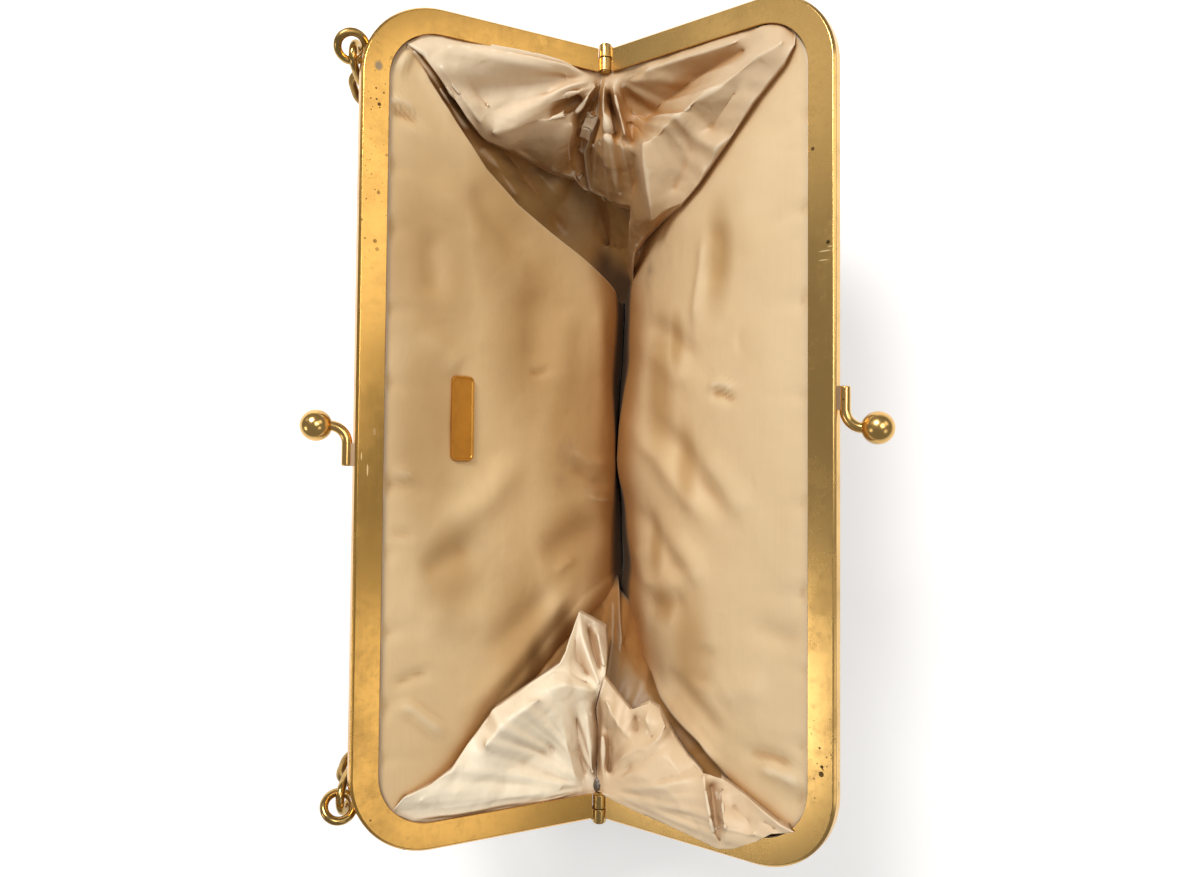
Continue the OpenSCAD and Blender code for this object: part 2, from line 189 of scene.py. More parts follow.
def on_band(p, side, u, v, lift):
    """Point over a half's mating face that is seen at a pixel."""
    m = half_matrix(p, side)
    normal = (m.to_3x3() @ Vector((0, 0, 1))).normalized()
    d = sight(u, v)
    base = m.translation + normal * lift
    return CAMERA_AT + d * ((base - CAMERA_AT).dot(normal) / d.dot(normal))


# Mesh helpers ------------------------------------------------------------------------------------


# Distance in mm at which points are merged: before and after a shape is put in its place
MERGE, MERGE_FINE = 0.002, 0.0005


def make_piece(name, bm, material, hard=35):
    """Turns a bmesh in mm into a piece in metres, shaded smooth up to the hard angle in degrees."""
    bmesh.ops.scale(bm, vec=(MM, MM, MM), verts=bm.verts)
    mesh = bpy.data.meshes.new(name)
    bm.to_mesh(mesh)
    bm.free()
    mesh.shade_smooth()
    if hard:
        mesh.set_sharp_from_angle(angle=math.radians(hard))
    mesh.materials.append(material)
    piece = bpy.data.objects.new(name, mesh)
    bpy.context.scene.collection.objects.link(piece)
    if hard:
        even = piece.modifiers.new("even_faces", "WEIGHTED_NORMAL")
        even.keep_sharp = True
    return piece


def fit(piece, body, node):
    """The piece rides on a body and stands for a CAD node, which is hidden."""
    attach(piece, body)
    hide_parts(node)


def edges_of(geom):
    """Edges in what an operator gives."""
    return [g for g in geom if isinstance(g, bmesh.types.BMEdge)]


def verts_of(geom):
    """Vertices in what an operator gives."""
    return [g for g in geom if isinstance(g, bmesh.types.BMVert)]


def shift(bm, step):
    """Moves a whole shape."""
    bmesh.ops.translate(bm, vec=step, verts=bm.verts)


def put_in(bm, matrix):
    """Puts a finished shape in its place."""
    bmesh.ops.transform(bm, matrix=matrix, verts=bm.verts)
    close_up(bm, MERGE_FINE)


def join_into(bm, part):
    """Adds a part to a bmesh and frees the part."""
    hold = bpy.data.meshes.new("hold")
    part.to_mesh(hold)
    bm.from_mesh(hold)
    part.free()
    bpy.data.meshes.remove(hold)


def face_to(bm, way):
    """Turns all faces round if most of them look away from a direction."""
    if sum(f.normal.dot(way) * f.calc_area() for f in bm.faces) < 0:
        bmesh.ops.reverse_faces(bm, faces=bm.faces)


def close_up(bm, distance=MERGE):
    """Merges doubles and points every face outwards."""
    bmesh.ops.remove_doubles(bm, verts=bm.verts, dist=distance)
    bmesh.ops.recalc_face_normals(bm, faces=bm.faces)


def round_edges(bm, offset, segments=2, angle=30):
    """Bevels every edge that turns by more than the angle in degrees."""
    sharp = [e for e in bm.edges if e.is_manifold and e.calc_face_angle(0) > math.radians(angle)]
    bmesh.ops.bevel(bm, geom=sharp, offset=offset, offset_type="OFFSET", segments=segments, profile=0.5,
                    affect="EDGES", material=-1, clamp_overlap=True)


def box_in(bm, low, high):
    """Box between two corners."""
    made = bmesh.ops.create_cube(bm, size=1)["verts"]
    low, high = Vector(low), Vector(high)
    bmesh.ops.scale(bm, vec=high - low, verts=made)
    bmesh.ops.translate(bm, vec=(low + high) / 2, verts=made)


def slab(bm, width, long, thick, radius, segments):
    """Flat slab on the ground, with its upright corners rounded."""
    box_in(bm, (-width / 2, -long / 2, 0), (width / 2, long / 2, thick))
    upright = [e for e in bm.edges if abs(e.verts[0].co.z - e.verts[1].co.z) > thick / 2]
    bmesh.ops.bevel(bm, geom=upright, offset=radius, offset_type="OFFSET", segments=segments, profile=0.5,
                    affect="EDGES", material=-1)


def drawn_on(bm, geom, step):
    """Extrudes a loop of edges by a step and gives the new loop."""
    new = bmesh.ops.extrude_edge_only(bm, edges=edges_of(geom))["geom"]
    bmesh.ops.translate(bm, vec=step, verts=verts_of(new))
    return new


def turned_on(bm, geom, centre, axis, degrees, steps):
    """Spins a loop of edges about an axis and gives the new loop."""
    loop = [g for g in geom if not isinstance(g, bmesh.types.BMFace)]
    return bmesh.ops.spin(bm, geom=loop, cent=centre, axis=axis, dvec=(0, 0, 0), angle=math.radians(degrees),
                          steps=steps, use_duplicate=False)["geom_last"]


def full_spin(bm, geom, steps):
    """Full spin about the Y axis."""
    bmesh.ops.spin(bm, geom=geom, cent=(0, 0, 0), axis=(0, 1, 0), dvec=(0, 0, 0), angle=math.tau, steps=steps,
                   use_merge=True, use_duplicate=False)


def lathe(bm, outline, steps=48):
    """Full spin of an outline, given as distance from the Y axis and place along it."""
    verts = [bm.verts.new((x, y, 0)) for x, y in outline]
    edges = [bm.edges.new(pair) for pair in zip(verts, verts[1:])]
    full_spin(bm, verts + edges, steps)


def ring_of_wire(bm, radius, segments, place):
    """Open circle to be drawn and turned into a wire."""
    made = bmesh.ops.create_circle(bm, radius=radius, segments=segments, cap_ends=False, matrix=place)["verts"]
    return made + list({e for v in made for e in v.link_edges})


def blend_cloth(piece):
    """Bakes the piece's place into its mesh."""
    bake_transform(piece)


# Materials ---------------------------------------------------------------------------------------


def node_group(name, inputs, outputs):
    """New shader node group with its sockets, given as name to default or None."""
    group = bpy.data.node_groups.new(name, "ShaderNodeTree")
    for title, value in inputs.items():
        kind = "NodeSocketVector" if value is None else "NodeSocketFloat"
        socket = group.interface.new_socket(title, in_out="INPUT", socket_type=kind)
        if value is not None:
            socket.default_value = value
    for title in outputs:
        group.interface.new_socket(title, in_out="OUTPUT", socket_type="NodeSocketFloat")
    return group, group.nodes.new("NodeGroupInput"), group.nodes.new("NodeGroupOutput")


def add(tree, kind, links=None, **values):
    """New node, with sockets set or linked by name or number and other settings by attribute."""
    node = tree.nodes.new(kind)
    for key, value in values.items():
        setattr(node, key, value)
    for key, value in (links or {}).items():
        if isinstance(value, bpy.types.NodeSocket):
            tree.links.new(value, node.inputs[key])
        else:
            node.inputs[key].default_value = value
    return node


def math_node(tree, operation, *terms, clamp=False):
    """Result of a Math node on sockets or numbers."""
    return add(tree, "ShaderNodeMath", dict(enumerate(terms)), operation=operation, use_clamp=clamp).outputs[0]


def times(tree, a, b):
    return math_node(tree, "MULTIPLY", a, b)


def plus(tree, a, b, clamp=False):
    return math_node(tree, "ADD", a, b, clamp=clamp)


# Sockets of a Mix node that is set to colours
MIX_FACTOR, MIX_A, MIX_B, MIX_RESULT = 0, 6, 7, 2


def mix_colour(tree, factor, a, b):
    """Colour a turned towards colour b by a factor; each is a socket or three shares of light."""
    a, b = (c if isinstance(c, bpy.types.NodeSocket) else (*c, 1) for c in (a, b))
    return add(tree, "ShaderNodeMix", {MIX_FACTOR: factor, MIX_A: a, MIX_B: b}, data_type="RGBA").outputs[MIX_RESULT]


def tint(tree, mask, strength, tone, towards):
    """Turns a tone towards a colour where a mask says so, by a strength."""
    return mix_colour(tree, times(tree, mask, strength), tone, towards)


def ramp(tree, value, low, high):
    """Value stretched from low..high to 0..1, with a soft start and end."""
    return add(tree, "ShaderNodeMapRange", {"Value": value, "From Min": low, "From Max": high},
               interpolation_type="SMOOTHSTEP").outputs[0]


def mottle_group():
    """Cloudy patches and fine dirt in one mask."""
    group, inp, out = node_group("Mottle", {"Vector": None, "Scale": 40.0, "Low": 0.4, "High": 0.7}, ["Mask"])
    cloud = add(group, "ShaderNodeTexNoise",
                {"Vector": inp.outputs["Vector"], "Scale": inp.outputs["Scale"], "Detail": 6, "Roughness": 0.62})
    mask = add(group, "ShaderNodeMapRange",
               {"Value": cloud.outputs[0], "From Min": inp.outputs["Low"], "From Max": inp.outputs["High"]},
               interpolation_type="SMOOTHSTEP")
    group.links.new(mask.outputs[0], out.inputs["Mask"])
    return group


def pit_group():
    """Small dark pits, scattered thickly or thinly."""
    group, inp, out = node_group("Pits", {"Vector": None, "Scale": 500.0, "Size": 0.2, "Share": 0.6}, ["Mask"])
    cells = add(group, "ShaderNodeTexVoronoi", {"Vector": inp.outputs["Vector"], "Scale": inp.outputs["Scale"]})
    spread = add(group, "ShaderNodeSeparateColor", {"Color": cells.outputs["Color"]})
    dot = math_node(group, "LESS_THAN", cells.outputs["Distance"],
                    times(group, inp.outputs["Size"], spread.outputs[1]))
    kept = math_node(group, "GREATER_THAN", spread.outputs[0], inp.outputs["Share"])
    group.links.new(times(group, dot, kept), out.inputs["Mask"])
    return group


def brushed_group():
    """Fine lines left by polishing, along the length of the hinge axis."""
    group, inp, out = node_group("Polish lines", {"Vector": None, "Scale": 900.0}, ["Height"])
    drawn = add(group, "ShaderNodeMapping", {"Vector": inp.outputs["Vector"], "Scale": (1, 0.06, 1)})
    lines = add(group, "ShaderNodeTexNoise",
                {"Vector": drawn.outputs[0], "Scale": inp.outputs["Scale"], "Detail": 3, "Roughness": 0.6})
    group.links.new(lines.outputs[0], out.inputs["Height"])
    return group


def weave_group():
    """Fine threads of a satin weave, with slubs, as a height."""
    group, inp, out = node_group("Satin weave", {"Vector": None, "Threads": 1800.0}, ["Height", "Slub"])
    threads = {"Vector": inp.outputs["Vector"], "Scale": inp.outputs["Threads"], "Distortion": 1.2, "Detail": 1}
    across, along = (add(group, "ShaderNodeTexWave", threads, wave_type="BANDS", bands_direction=way) for way in "XY")
    height = plus(group, across.outputs[1], along.outputs[1])
    drawn = add(group, "ShaderNodeMapping", {"Vector": inp.outputs["Vector"], "Scale": (1400, 60, 1400)})
    slub = add(group, "ShaderNodeTexNoise", {"Vector": drawn.outputs[0], "Scale": 1.0, "Detail": 2})
    group.links.new(height, out.inputs["Height"])
    group.links.new(slub.outputs[0], out.inputs["Slub"])
    return group


def wrinkle_group():
    """Soft crumpling of the cloth as a height: sharp little ridges over wide waves."""
    group, inp, out = node_group("Wrinkles", {"Vector": None, "Scale": 90.0, "Sharp": 0.5}, ["Height"])
    bend = add(group, "ShaderNodeTexNoise",
               {"Vector": inp.outputs["Vector"], "Scale": 60.0, "Detail": 2, "Roughness": 0.5})
    moved = add(group, "ShaderNodeVectorMath", {0: bend.outputs[1], 1: (0.5, 0.5, 0.5)}, operation="SUBTRACT")
    scaled = add(group, "ShaderNodeVectorMath", {0: moved.outputs[0], "Scale": 0.012}, operation="SCALE")
    at = add(group, "ShaderNodeVectorMath", {0: inp.outputs["Vector"], 1: scaled.outputs[0]}, operation="ADD")
    wave = add(group, "ShaderNodeTexNoise",
               {"Vector": at.outputs[0], "Scale": inp.outputs["Scale"], "Detail": 2.5, "Roughness": 0.45})
    fold = math_node(group, "ABSOLUTE", math_node(group, "SUBTRACT", wave.outputs[0], 0.5))
    crisp = times(group, times(group, fold, -3.0), inp.outputs["Sharp"])
    group.links.new(plus(group, wave.outputs[0], crisp), out.inputs["Height"])
    return group


GROUP_MAKERS = {"Mottle": mottle_group, "Pits": pit_group, "Polish lines": brushed_group, "Satin weave": weave_group,
                "Wrinkles": wrinkle_group}


def use_group(tree, name, links):
    """Places a shared effect, which is built at its first use."""
    group = bpy.data.node_groups.get(name) or GROUP_MAKERS[name]()
    return add(tree, "ShaderNodeGroup", links, node_tree=group)


def mottle(tree, place, scale, low, high):
    """Mask of cloudy patches."""
    return use_group(tree, "Mottle", {"Vector": place, "Scale": scale, "Low": low, "High": high}).outputs[0]


def pitted(tree, place, scale, size, share):
    """Mask of small pits."""
    return use_group(tree, "Pits", {"Vector": place, "Scale": scale, "Size": size, "Share": share}).outputs[0]


def polish_lines(tree, place, scale):
    """Height of fine polishing lines."""
    return use_group(tree, "Polish lines", {"Vector": place, "Scale": scale}).outputs[0]


def new_material(name, **sockets):
    """Principled material: its tree, shader and object coordinates. Names in sockets use _ for spaces."""
    mat = bpy.data.materials.new(name)
    mat.use_nodes = True
    tree = mat.node_tree
    shader = tree.nodes["Principled BSDF"]
    for key, value in sockets.items():
        shader.inputs[key.replace("_", " ")].default_value = value
    place = tree.nodes.new("ShaderNodeTexCoord").outputs["Object"]
    return mat, tree, shader, place


def bump(tree, shader, height, strength, distance):
    """Small relief from a height."""
    node = add(tree, "ShaderNodeBump", {"Height": height, "Strength": strength, "Distance": distance})
    tree.links.new(node.outputs[0], shader.inputs["Normal"])
    return node


def paint(tree, shader, tone, rough=None):
    """Gives a shader its tone and, where it varies, its roughness."""
    tree.links.new(tone, shader.inputs["Base Color"])
    if rough:
        tree.links.new(rough, shader.inputs["Roughness"])


def spot(tree, place, at, turn, size, low, high):
    """Mask of a soft spot or scratch at a point in mm: turn in degrees about Z, size in mm along its axes."""
    back = add(tree, "ShaderNodeMapping", {"Vector": place, "Location": [-c * MM for c in at]})
    turned = add(tree, "ShaderNodeMapping", {
        "Vector": back.outputs[0], "Rotation": (0, 0, -math.radians(turn)), "Scale": [1 / (s * MM) for s in size]})
    ball = add(tree, "ShaderNodeTexGradient", {"Vector": turned.outputs[0]}, gradient_type="SPHERICAL")
    return ramp(tree, ball.outputs[1], low, high)


def any_of(tree, masks):
    """Mask that is as strong as the strongest of several."""
    strongest = masks[0]
    for mask in masks[1:]:
        strongest = math_node(tree, "MAXIMUM", strongest, mask)
    return strongest


def spots(tree, place, rows, low, high):
    """Mask of several spots, given as point, turn and size."""
    return any_of(tree, [spot(tree, place, at, turn, size, low, high) for at, turn, size in rows])


# Colours of brass: a warmer tone that is painted reflected light, aged brass, and the colour of its marks
REFLECTED_WARM_BRASS, AGED_BRASS, PIT_BLACK = Vector((0.80, 0.44, 0.105)), Vector((0.34, 0.23, 0.075)), (0.045, 0.022, 0.008)
FRESH_CUT, BARE_GREY = (0.95, 0.80, 0.50), (0.30, 0.25, 0.19)


def brass_material(name, roughness, film, pits=(), scratches=(), grey=(), reflected_warmth=0.0, aged=0.0):
    """Old polished brass: cloudy film, pits near given points, scratches and bare grey spots, and where asked a warmer
    tone as painted reflected light.
    """
    colours = bpy.context.scene.clutch_colours
    mat, tree, shader, place = new_material(name, Metallic=1.0)
    cloud = mottle(tree, place, 55.0, 0.42, 0.78)
    fine = mottle(tree, place, 420.0, 0.45, 0.8)
    dull = times(tree, plus(tree, cloud, times(tree, fine, 0.5)), film)
    # Painted reflected light: a warmer tone where asked.
    metal = Vector(colours.brass).lerp(REFLECTED_WARM_BRASS, reflected_warmth).lerp(AGED_BRASS, aged)
    tone = mix_colour(tree, dull, metal, colours.tarnish)
    rough = plus(tree, times(tree, dull, 0.35), roughness)
    marks = []
    if pits:
        share = spots(tree, place, pits, 0.0, 1.0)
        dots = pitted(tree, place, 420.0, 0.34, 0.55)
        small = pitted(tree, place, 950.0, 0.3, 0.5)
        marks.append(times(tree, any_of(tree, [dots, small]), share))
    marks.append(times(tree, pitted(tree, place, 260.0, 0.16, 0.86), 0.8))
    dark = any_of(tree, marks)
    tone = mix_colour(tree, dark, tone, PIT_BLACK)
    if scratches:
        cut = spots(tree, place, scratches, 0.0, 0.5)
        tone = tint(tree, cut, 0.55, tone, FRESH_CUT)
        rough = plus(tree, rough, times(tree, cut, 0.2))
    if grey:
        bare = spots(tree, place, grey, 0.1, 0.6)
        tone = tint(tree, bare, 0.8, tone, BARE_GREY)
        rough = plus(tree, rough, times(tree, bare, 0.25))
    lines = polish_lines(tree, place, 1600.0)
    paint(tree, shader, tone, plus(tree, rough, times(tree, lines, 0.06), clamp=True))
    bump(tree, shader, math_node(tree, "SUBTRACT", lines, times(tree, dark, 1.5)), 0.05, 0.00003)
    return mat


def gilt_material():
    """Satin gilt of the label plate."""
    colours = bpy.context.scene.clutch_colours
    mat, tree, shader, place = new_material("plate_gilt", Metallic=1.0)
    cloud = mottle(tree, place, 160.0, 0.35, 0.8)
    tone = tint(tree, cloud, 0.4, colours.gilt, (0.42, 0.2, 0.04))
    paint(tree, shader, tone, plus(tree, times(tree, cloud, 0.15), 0.3))
    bump(tree, shader, polish_lines(tree, place, 2400.0), 0.15, 0.00003)
    return mat


# Colours of worn satin: soft patches, slubs, painted shade spots, stains, painted shadow spots, a painted highlight on
# ridges and painted shade in the bottom crease
PATCH, SLUB, SPOT_SHADE, STAIN = (0.60, 0.44, 0.30), (0.5, 0.33, 0.18), (0.46, 0.26, 0.088), (0.30, 0.20, 0.13)
SPOT_SHADOW, RIDGE_HIGHLIGHT, CREASE_SHADE = (0.08, 0.032, 0.008), (0.97, 0.88, 0.70), (0.055, 0.024, 0.007)
# Heights in metres between which the bottom crease darkens with painted shade
CREASE_SHADE_SPAN = 0.0140, 0.0075


def satin_material(name, fresh, aged, stains=(), shade_spots=(), crumple=(60.0, 0.1, 0.0006), low_shade=None,
                   hollow_shade=(0.44, 0.21, 0.06), crease=0.6, shadow_spots=()):
    """Champagne satin with a fine weave, slubs, random soft patches and stains at given points; painted shade spots and
    painted shadow spots at given points, painted shade in hollows and creases, a painted highlight on ridges and
    painted shade in the bottom crease. The height span, when given, holds the heights in mm between which the cloth
    turns to its painted shade colour lower down, and that colour."""
    mat, tree, shader, place = new_material(
        name, IOR=1.5, Specular_IOR_Level=0.55, Sheen_Weight=0.06, Sheen_Roughness=0.4, Sheen_Tint=(1.0, 0.87, 0.7, 1))
    weave = use_group(tree, "Satin weave", {"Vector": place, "Threads": 1700.0})
    age = mottle(tree, place, 22.0, 0.38, 0.75)
    patch = mottle(tree, place, 75.0, 0.5, 0.85)
    tone = tint(tree, age, 0.4, fresh, aged)
    tone = tint(tree, patch, 0.22, tone, PATCH)
    tone = tint(tree, ramp(tree, weave.outputs["Slub"], 0.45, 0.75), 0.05, tone, SLUB)
    # Painted shade: soft brown spots where the panels' folds fall in shade.
    if shade_spots:
        tone = tint(tree, spots(tree, place, shade_spots, 0.0, 0.8), 0.68, tone, SPOT_SHADE)
    if stains:
        dirt = spots(tree, place, stains, 0.0, 0.9)
        tone = tint(tree, times(tree, dirt, plus(tree, patch, 0.35, clamp=True)), 0.55, tone, STAIN)
    # Painted shadow: near-black spots in hollows at given points.
    if shadow_spots:
        tone = tint(tree, spots(tree, place, shadow_spots, 0.0, 0.8), 0.85, tone, SPOT_SHADOW)
    height = add(tree, "ShaderNodeSeparateXYZ", {"Vector": place}).outputs["Z"]
    # Painted shade: the cloth turns darker lower down, between two heights.
    if low_shade:
        bottom, top, shade_tone = low_shade
        tone = mix_colour(tree, ramp(tree, height, top * MM, bottom * MM), tone, shade_tone)
    # Painted shade in hollows, from ambient occlusion.
    hollow = add(tree, "ShaderNodeAmbientOcclusion", {"Distance": 0.022}, samples=8)
    tone = mix_colour(tree, ramp(tree, hollow.outputs["AO"], 0.92, 0.3), tone, hollow_shade)
    # Painted shade in creases and a painted highlight on ridges, from pointiness; the crease strength sets both.
    bend = tree.nodes.new("ShaderNodeNewGeometry").outputs["Pointiness"]
    tone = tint(tree, ramp(tree, bend, 0.497, 0.45), crease, tone, hollow_shade)
    tone = tint(tree, ramp(tree, bend, 0.505, 0.56), crease * 0.6, tone, RIDGE_HIGHLIGHT)
    # Painted shade in the bottom crease, below a height.
    low = ramp(tree, height, *CREASE_SHADE_SPAN)
    tone = tint(tree, low, 0.93, tone, CREASE_SHADE)
    shine = plus(tree, times(tree, age, 0.1), 0.43)
    paint(tree, shader, tone, plus(tree, shine, times(tree, low, 0.5), clamp=True))
    scale, sharp, deep = crumple
    folds = use_group(tree, "Wrinkles", {"Vector": place, "Scale": scale, "Sharp": sharp}).outputs[0]
    rough = add(tree, "ShaderNodeBump", {"Height": folds, "Strength": 1.0, "Distance": deep})
    threads = bump(tree, shader, plus(tree, weave.outputs["Height"], weave.outputs["Slub"]), 0.10, 0.00006)
    tree.links.new(rough.outputs[0], threads.inputs["Normal"])
    return mat


def leather_material():
    """Smooth brown leather with a fine pebble grain and lighter rubbed patches."""
    colours = bpy.context.scene.clutch_colours
    mat, tree, shader, place = new_material("body_leather", Specular_IOR_Level=0.45)
    grain = add(tree, "ShaderNodeTexVoronoi", {"Vector": place, "Scale": 620.0, "Randomness": 1.0},
                feature="SMOOTH_F1").outputs["Distance"]
    coarse = add(tree, "ShaderNodeTexNoise",
                 {"Vector": place, "Scale": 260.0, "Detail": 5, "Roughness": 0.6}).outputs[0]
    tone = tint(tree, mottle(tree, place, 28.0, 0.35, 0.75), 0.5, colours.leather, (0.15, 0.06, 0.032))
    tone = tint(tree, ramp(tree, grain, 0.45, 0.0), 0.18, tone, (0.22, 0.10, 0.06))
    paint(tree, shader, tone, plus(tree, times(tree, coarse, 0.25), 0.32))
    bump(tree, shader, plus(tree, times(tree, grain, -1.0), times(tree, coarse, 0.6)), 0.35, 0.0002)
    return mat


def cord_material():
    """Twisted paper cord."""
    mat, tree, shader, place = new_material("edge_cord", Roughness=0.85)
    twist = add(tree, "ShaderNodeTexWave", {"Vector": place, "Scale": 260.0, "Distortion": 2.0, "Detail": 2},
                wave_type="BANDS", bands_direction="DIAGONAL").outputs[1]
    paint(tree, shader, mix_colour(tree, twist, (0.36, 0.28, 0.19), (0.52, 0.43, 0.31)))
    bump(tree, shader, twist, 0.4, 0.0002)
    return mat


def solder_material():
    """Grainy grey solder."""
    mat, tree, shader, place = new_material("solder", Metallic=0.6)
    cloud = mottle(tree, place, 700.0, 0.35, 0.7)
    tone = mix_colour(tree, cloud, (0.20, 0.17, 0.14), (0.09, 0.07, 0.055))
    paint(tree, shader, tone, plus(tree, times(tree, cloud, 0.2), 0.45))
    bump(tree, shader, cloud, 0.5, 0.0001)
    return mat


def floor_material():
    """Pale matt floor."""
    tone = bpy.context.scene.clutch_colours.floor
    mat, tree, shader, place = new_material("pale_floor", Roughness=0.9, Specular_IOR_Level=0.2,
                                            Emission_Color=(1, 1, 1, 1), Emission_Strength=0.38)
    cloud = mottle(tree, place, 6.0, 0.3, 0.7)
    paint(tree, shader, mix_colour(tree, cloud, tone, [c * 0.985 for c in tone]))
    return mat


def frame_brass(side):
    """Brass of a frame half, with its marks as point in mm, turn in degrees and size in mm; the left half's warmer tone
    is painted reflected light.
    """
    if side == LEFT:
        return brass_material(
            "left_frame_brass", 0.17, 0.3,
            pits=[((-64, 92, 100), 0, (9, 34, 9)), ((-65, 60, 101), 0, (7, 26, 7))],
            scratches=[((-64, -14, 101.5), 70, (0.25, 2.2, 3)), ((-65.5, -10, 102), 35, (0.2, 1.4, 3))],
            grey=[((-63, 103.5, 101), 0, (1.6, 2.0, 2.0)), ((-62.5, -3, 100), 0, (0.6, 2.0, 2))], reflected_warmth=0.8)
    return brass_material(
        "right_frame_brass", 0.18, 0.36,
        pits=[((64, -92, 101), 0, (7, 26, 8))],
        scratches=[((64.6, 47.5, 101.5), 52, (2.2, 0.24, 3)), ((64.2, 45.0, 101.2), 98, (1.6, 0.2, 3)),
                   ((65.8, 48.6, 101.8), 130, (1.0, 0.2, 3))])


# Frame metal -------------------------------------------------------------------------------------

# Steps round a corner of the frame, and rounding of the channel's edges in mm
CORNER_STEPS, CHANNEL_ROUND = 24, 0.16


def channel(bm, p):
    """Channel swept down one leg, round two corners and along the rail, in a half's own axes."""
    cut, deep = EDGE_CUT, p.depth
    section = [(cut, 0), (p.band, 0), (p.band, -LIP), (OUTER_WALL, -LIP), (OUTER_WALL, LIP - deep),
               (p.band, LIP - deep), (p.band, -deep), (cut, -deep), (0, cut - deep), (0, -cut)]
    verts = [bm.verts.new((LEG_END, -p.l / 2 + inward, up)) for inward, up in section]
    first = [bm.edges.new((v, verts[i - 1])) for i, v in enumerate(verts)]
    leg = p.cx - LEG_END
    loop = drawn_on(bm, verts + first, (leg, 0, 0))
    loop = turned_on(bm, loop, (p.cx, -p.cy, 0), (0, 0, 1), 90, CORNER_STEPS)
    loop = drawn_on(bm, loop, (0, 2 * p.cy, 0))
    loop = turned_on(bm, loop, (p.cx, p.cy, 0), (0, 0, 1), 90, CORNER_STEPS)
    loop = drawn_on(bm, loop, (-leg, 0, 0))
    bmesh.ops.edgeloop_fill(bm, edges=first)
    bmesh.ops.edgeloop_fill(bm, edges=edges_of(loop))
    close_up(bm)
    round_edges(bm, CHANNEL_ROUND)


class CLUTCH_OT_frame(bpy.types.Operator):
    """Builds the two channel halves of the frame"""

    bl_idname = "clutch.frame"
    bl_label = "Frame halves"

    def execute(self, context):
        p = plan()
        cord = cord_material()
        for side, name in SIDE_NAME.items():
            bm = bmesh.new()
            channel(bm, p)
            put_in(bm, half_matrix(p, side))
            piece = make_piece(f"{name}_channel", bm, frame_brass(side))
            fit(piece, f"{name}_half", f"{name}_frame")
            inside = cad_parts[f"{name}_edge_cord"].data.materials
            inside.clear()
            inside.append(cord)
        return {"FINISHED"}


# Hinge barrels: length, gap between two, bore and rounding of the rims, in mm
HINGE_LONG, BARREL_GAP, BORE_R, RIM_ROUND = 4.3, 0.2, 0.95, 0.25
# Tab between a barrel and its leg: where it starts out from the axis, how far it reaches into the leg, its rounding
TAB_FROM, TAB_IN, TAB_ROUND = 1.2, 0.3, 0.2
# Hinge pins: half their length, radius of the heads and of the pin, and the domed outline of a head
PIN_HALF, PIN_HEAD, PIN_R = 4.5, 1.7, 0.9
HEAD_DOME = [(0, 0.5), (PIN_HEAD * 0.5, 0.46), (PIN_HEAD * 0.85, 0.3), (PIN_HEAD, 0.08), (PIN_HEAD, 0), (PIN_R, 0)]
# Solder blob beside the front hinge: place from the hinge, half sizes and unevenness
BLOB_AT, BLOB_SIZE, BLOB_ROUGH = Vector((-0.6, 6.6, -1.6)), (1.5, 2.3, 1.3), 0.22


def barrel(bm, p, near):
    """Hinge barrel with rounded rims, along Y from near."""
    r, e = p.barrel / 2, RIM_ROUND
    far = near + HINGE_LONG
    lathe(bm, [(BORE_R, near), (r - e, near), (r - e * 0.3, near + e * 0.3), (r, near + e), (r, far - e),
               (r - e * 0.3, far - e * 0.3), (r - e, far), (BORE_R, far), (BORE_R, near)])


class CLUTCH_OT_hinges(bpy.types.Operator):
    """Builds the hinge barrels, their tabs, the two pins and the solder blob"""

    bl_idname = "clutch.hinges"
    bl_label = "Hinges"

    def execute(self, context):
        p = plan()
        metal = brass_material("hinge_brass", 0.2, 0.7, aged=0.4)
        for side, name in SIDE_NAME.items():
            bm = bmesh.new()
            for end in END_NAME:
                outer = (side == RIGHT) == (end == REAR)
                near = BARREL_GAP / 2 if outer else -BARREL_GAP / 2 - HINGE_LONG
                part = bmesh.new()
                low, high = max(near, -HINGE_OUT - p.band / 2), min(near + HINGE_LONG, p.band / 2 - HINGE_OUT)
                box_in(part, (TAB_FROM, low, LIP - p.depth), (LEG_END + TAB_IN, high, 0))
                round_edges(part, TAB_ROUND)
                barrel(part, p, near)
                close_up(part)
                if end == FRONT:
                    bmesh.ops.scale(part, vec=(1, -1, 1), verts=part.verts)
                shift(part, (0, end * p.hinge_y, 0))
                join_into(bm, part)
            bmesh.ops.transform(bm, matrix=half_matrix(p, side), verts=bm.verts)
            bmesh.ops.recalc_face_normals(bm, faces=bm.faces)
            fit(make_piece(f"{name}_barrels", bm, metal), f"{name}_half", f"{name}_knuckles")
        for end, name in END_NAME.items():
            bm = bmesh.new()
            rise = [(x, PIN_HALF + y) for x, y in HEAD_DOME]
            lathe(bm, rise + [(x, -y) for x, y in reversed(rise)])
            close_up(bm)
            shift(bm, (0, end * p.hinge_y, p.z))
            fit(make_piece(f"{name}_pin", bm, metal), "left_half", f"{name}_hinge_pin")
        bm = bmesh.new()
        bmesh.ops.create_icosphere(bm, subdivisions=4, radius=1)
        for v in bm.verts:
            v.co *= 1 + BLOB_ROUGH * noise.noise(v.co * 1.7)
        bmesh.ops.scale(bm, vec=BLOB_SIZE, verts=bm.verts)
        shift(bm, BLOB_AT + Vector((0, -p.hinge_y, p.z)))
        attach(make_piece("solder_blob", bm, solder_material(), hard=0), "left_half")
        return {"FINISHED"}


# Kiss clasp in mm: bend of a stem, its foot, reach of the ball, place along the rail, pad under the foot,
# how far the stem stops short of the ball's middle, and the gap that keeps a ball off the other half
STEM_BEND, FOOT_L, BALL_REACH, CLASP_Y, PAD_T, STEM_SHORT, BALL_CLEAR = 5, 6.5, 8.6, -1.4, 0.4, 0.6, 0.15


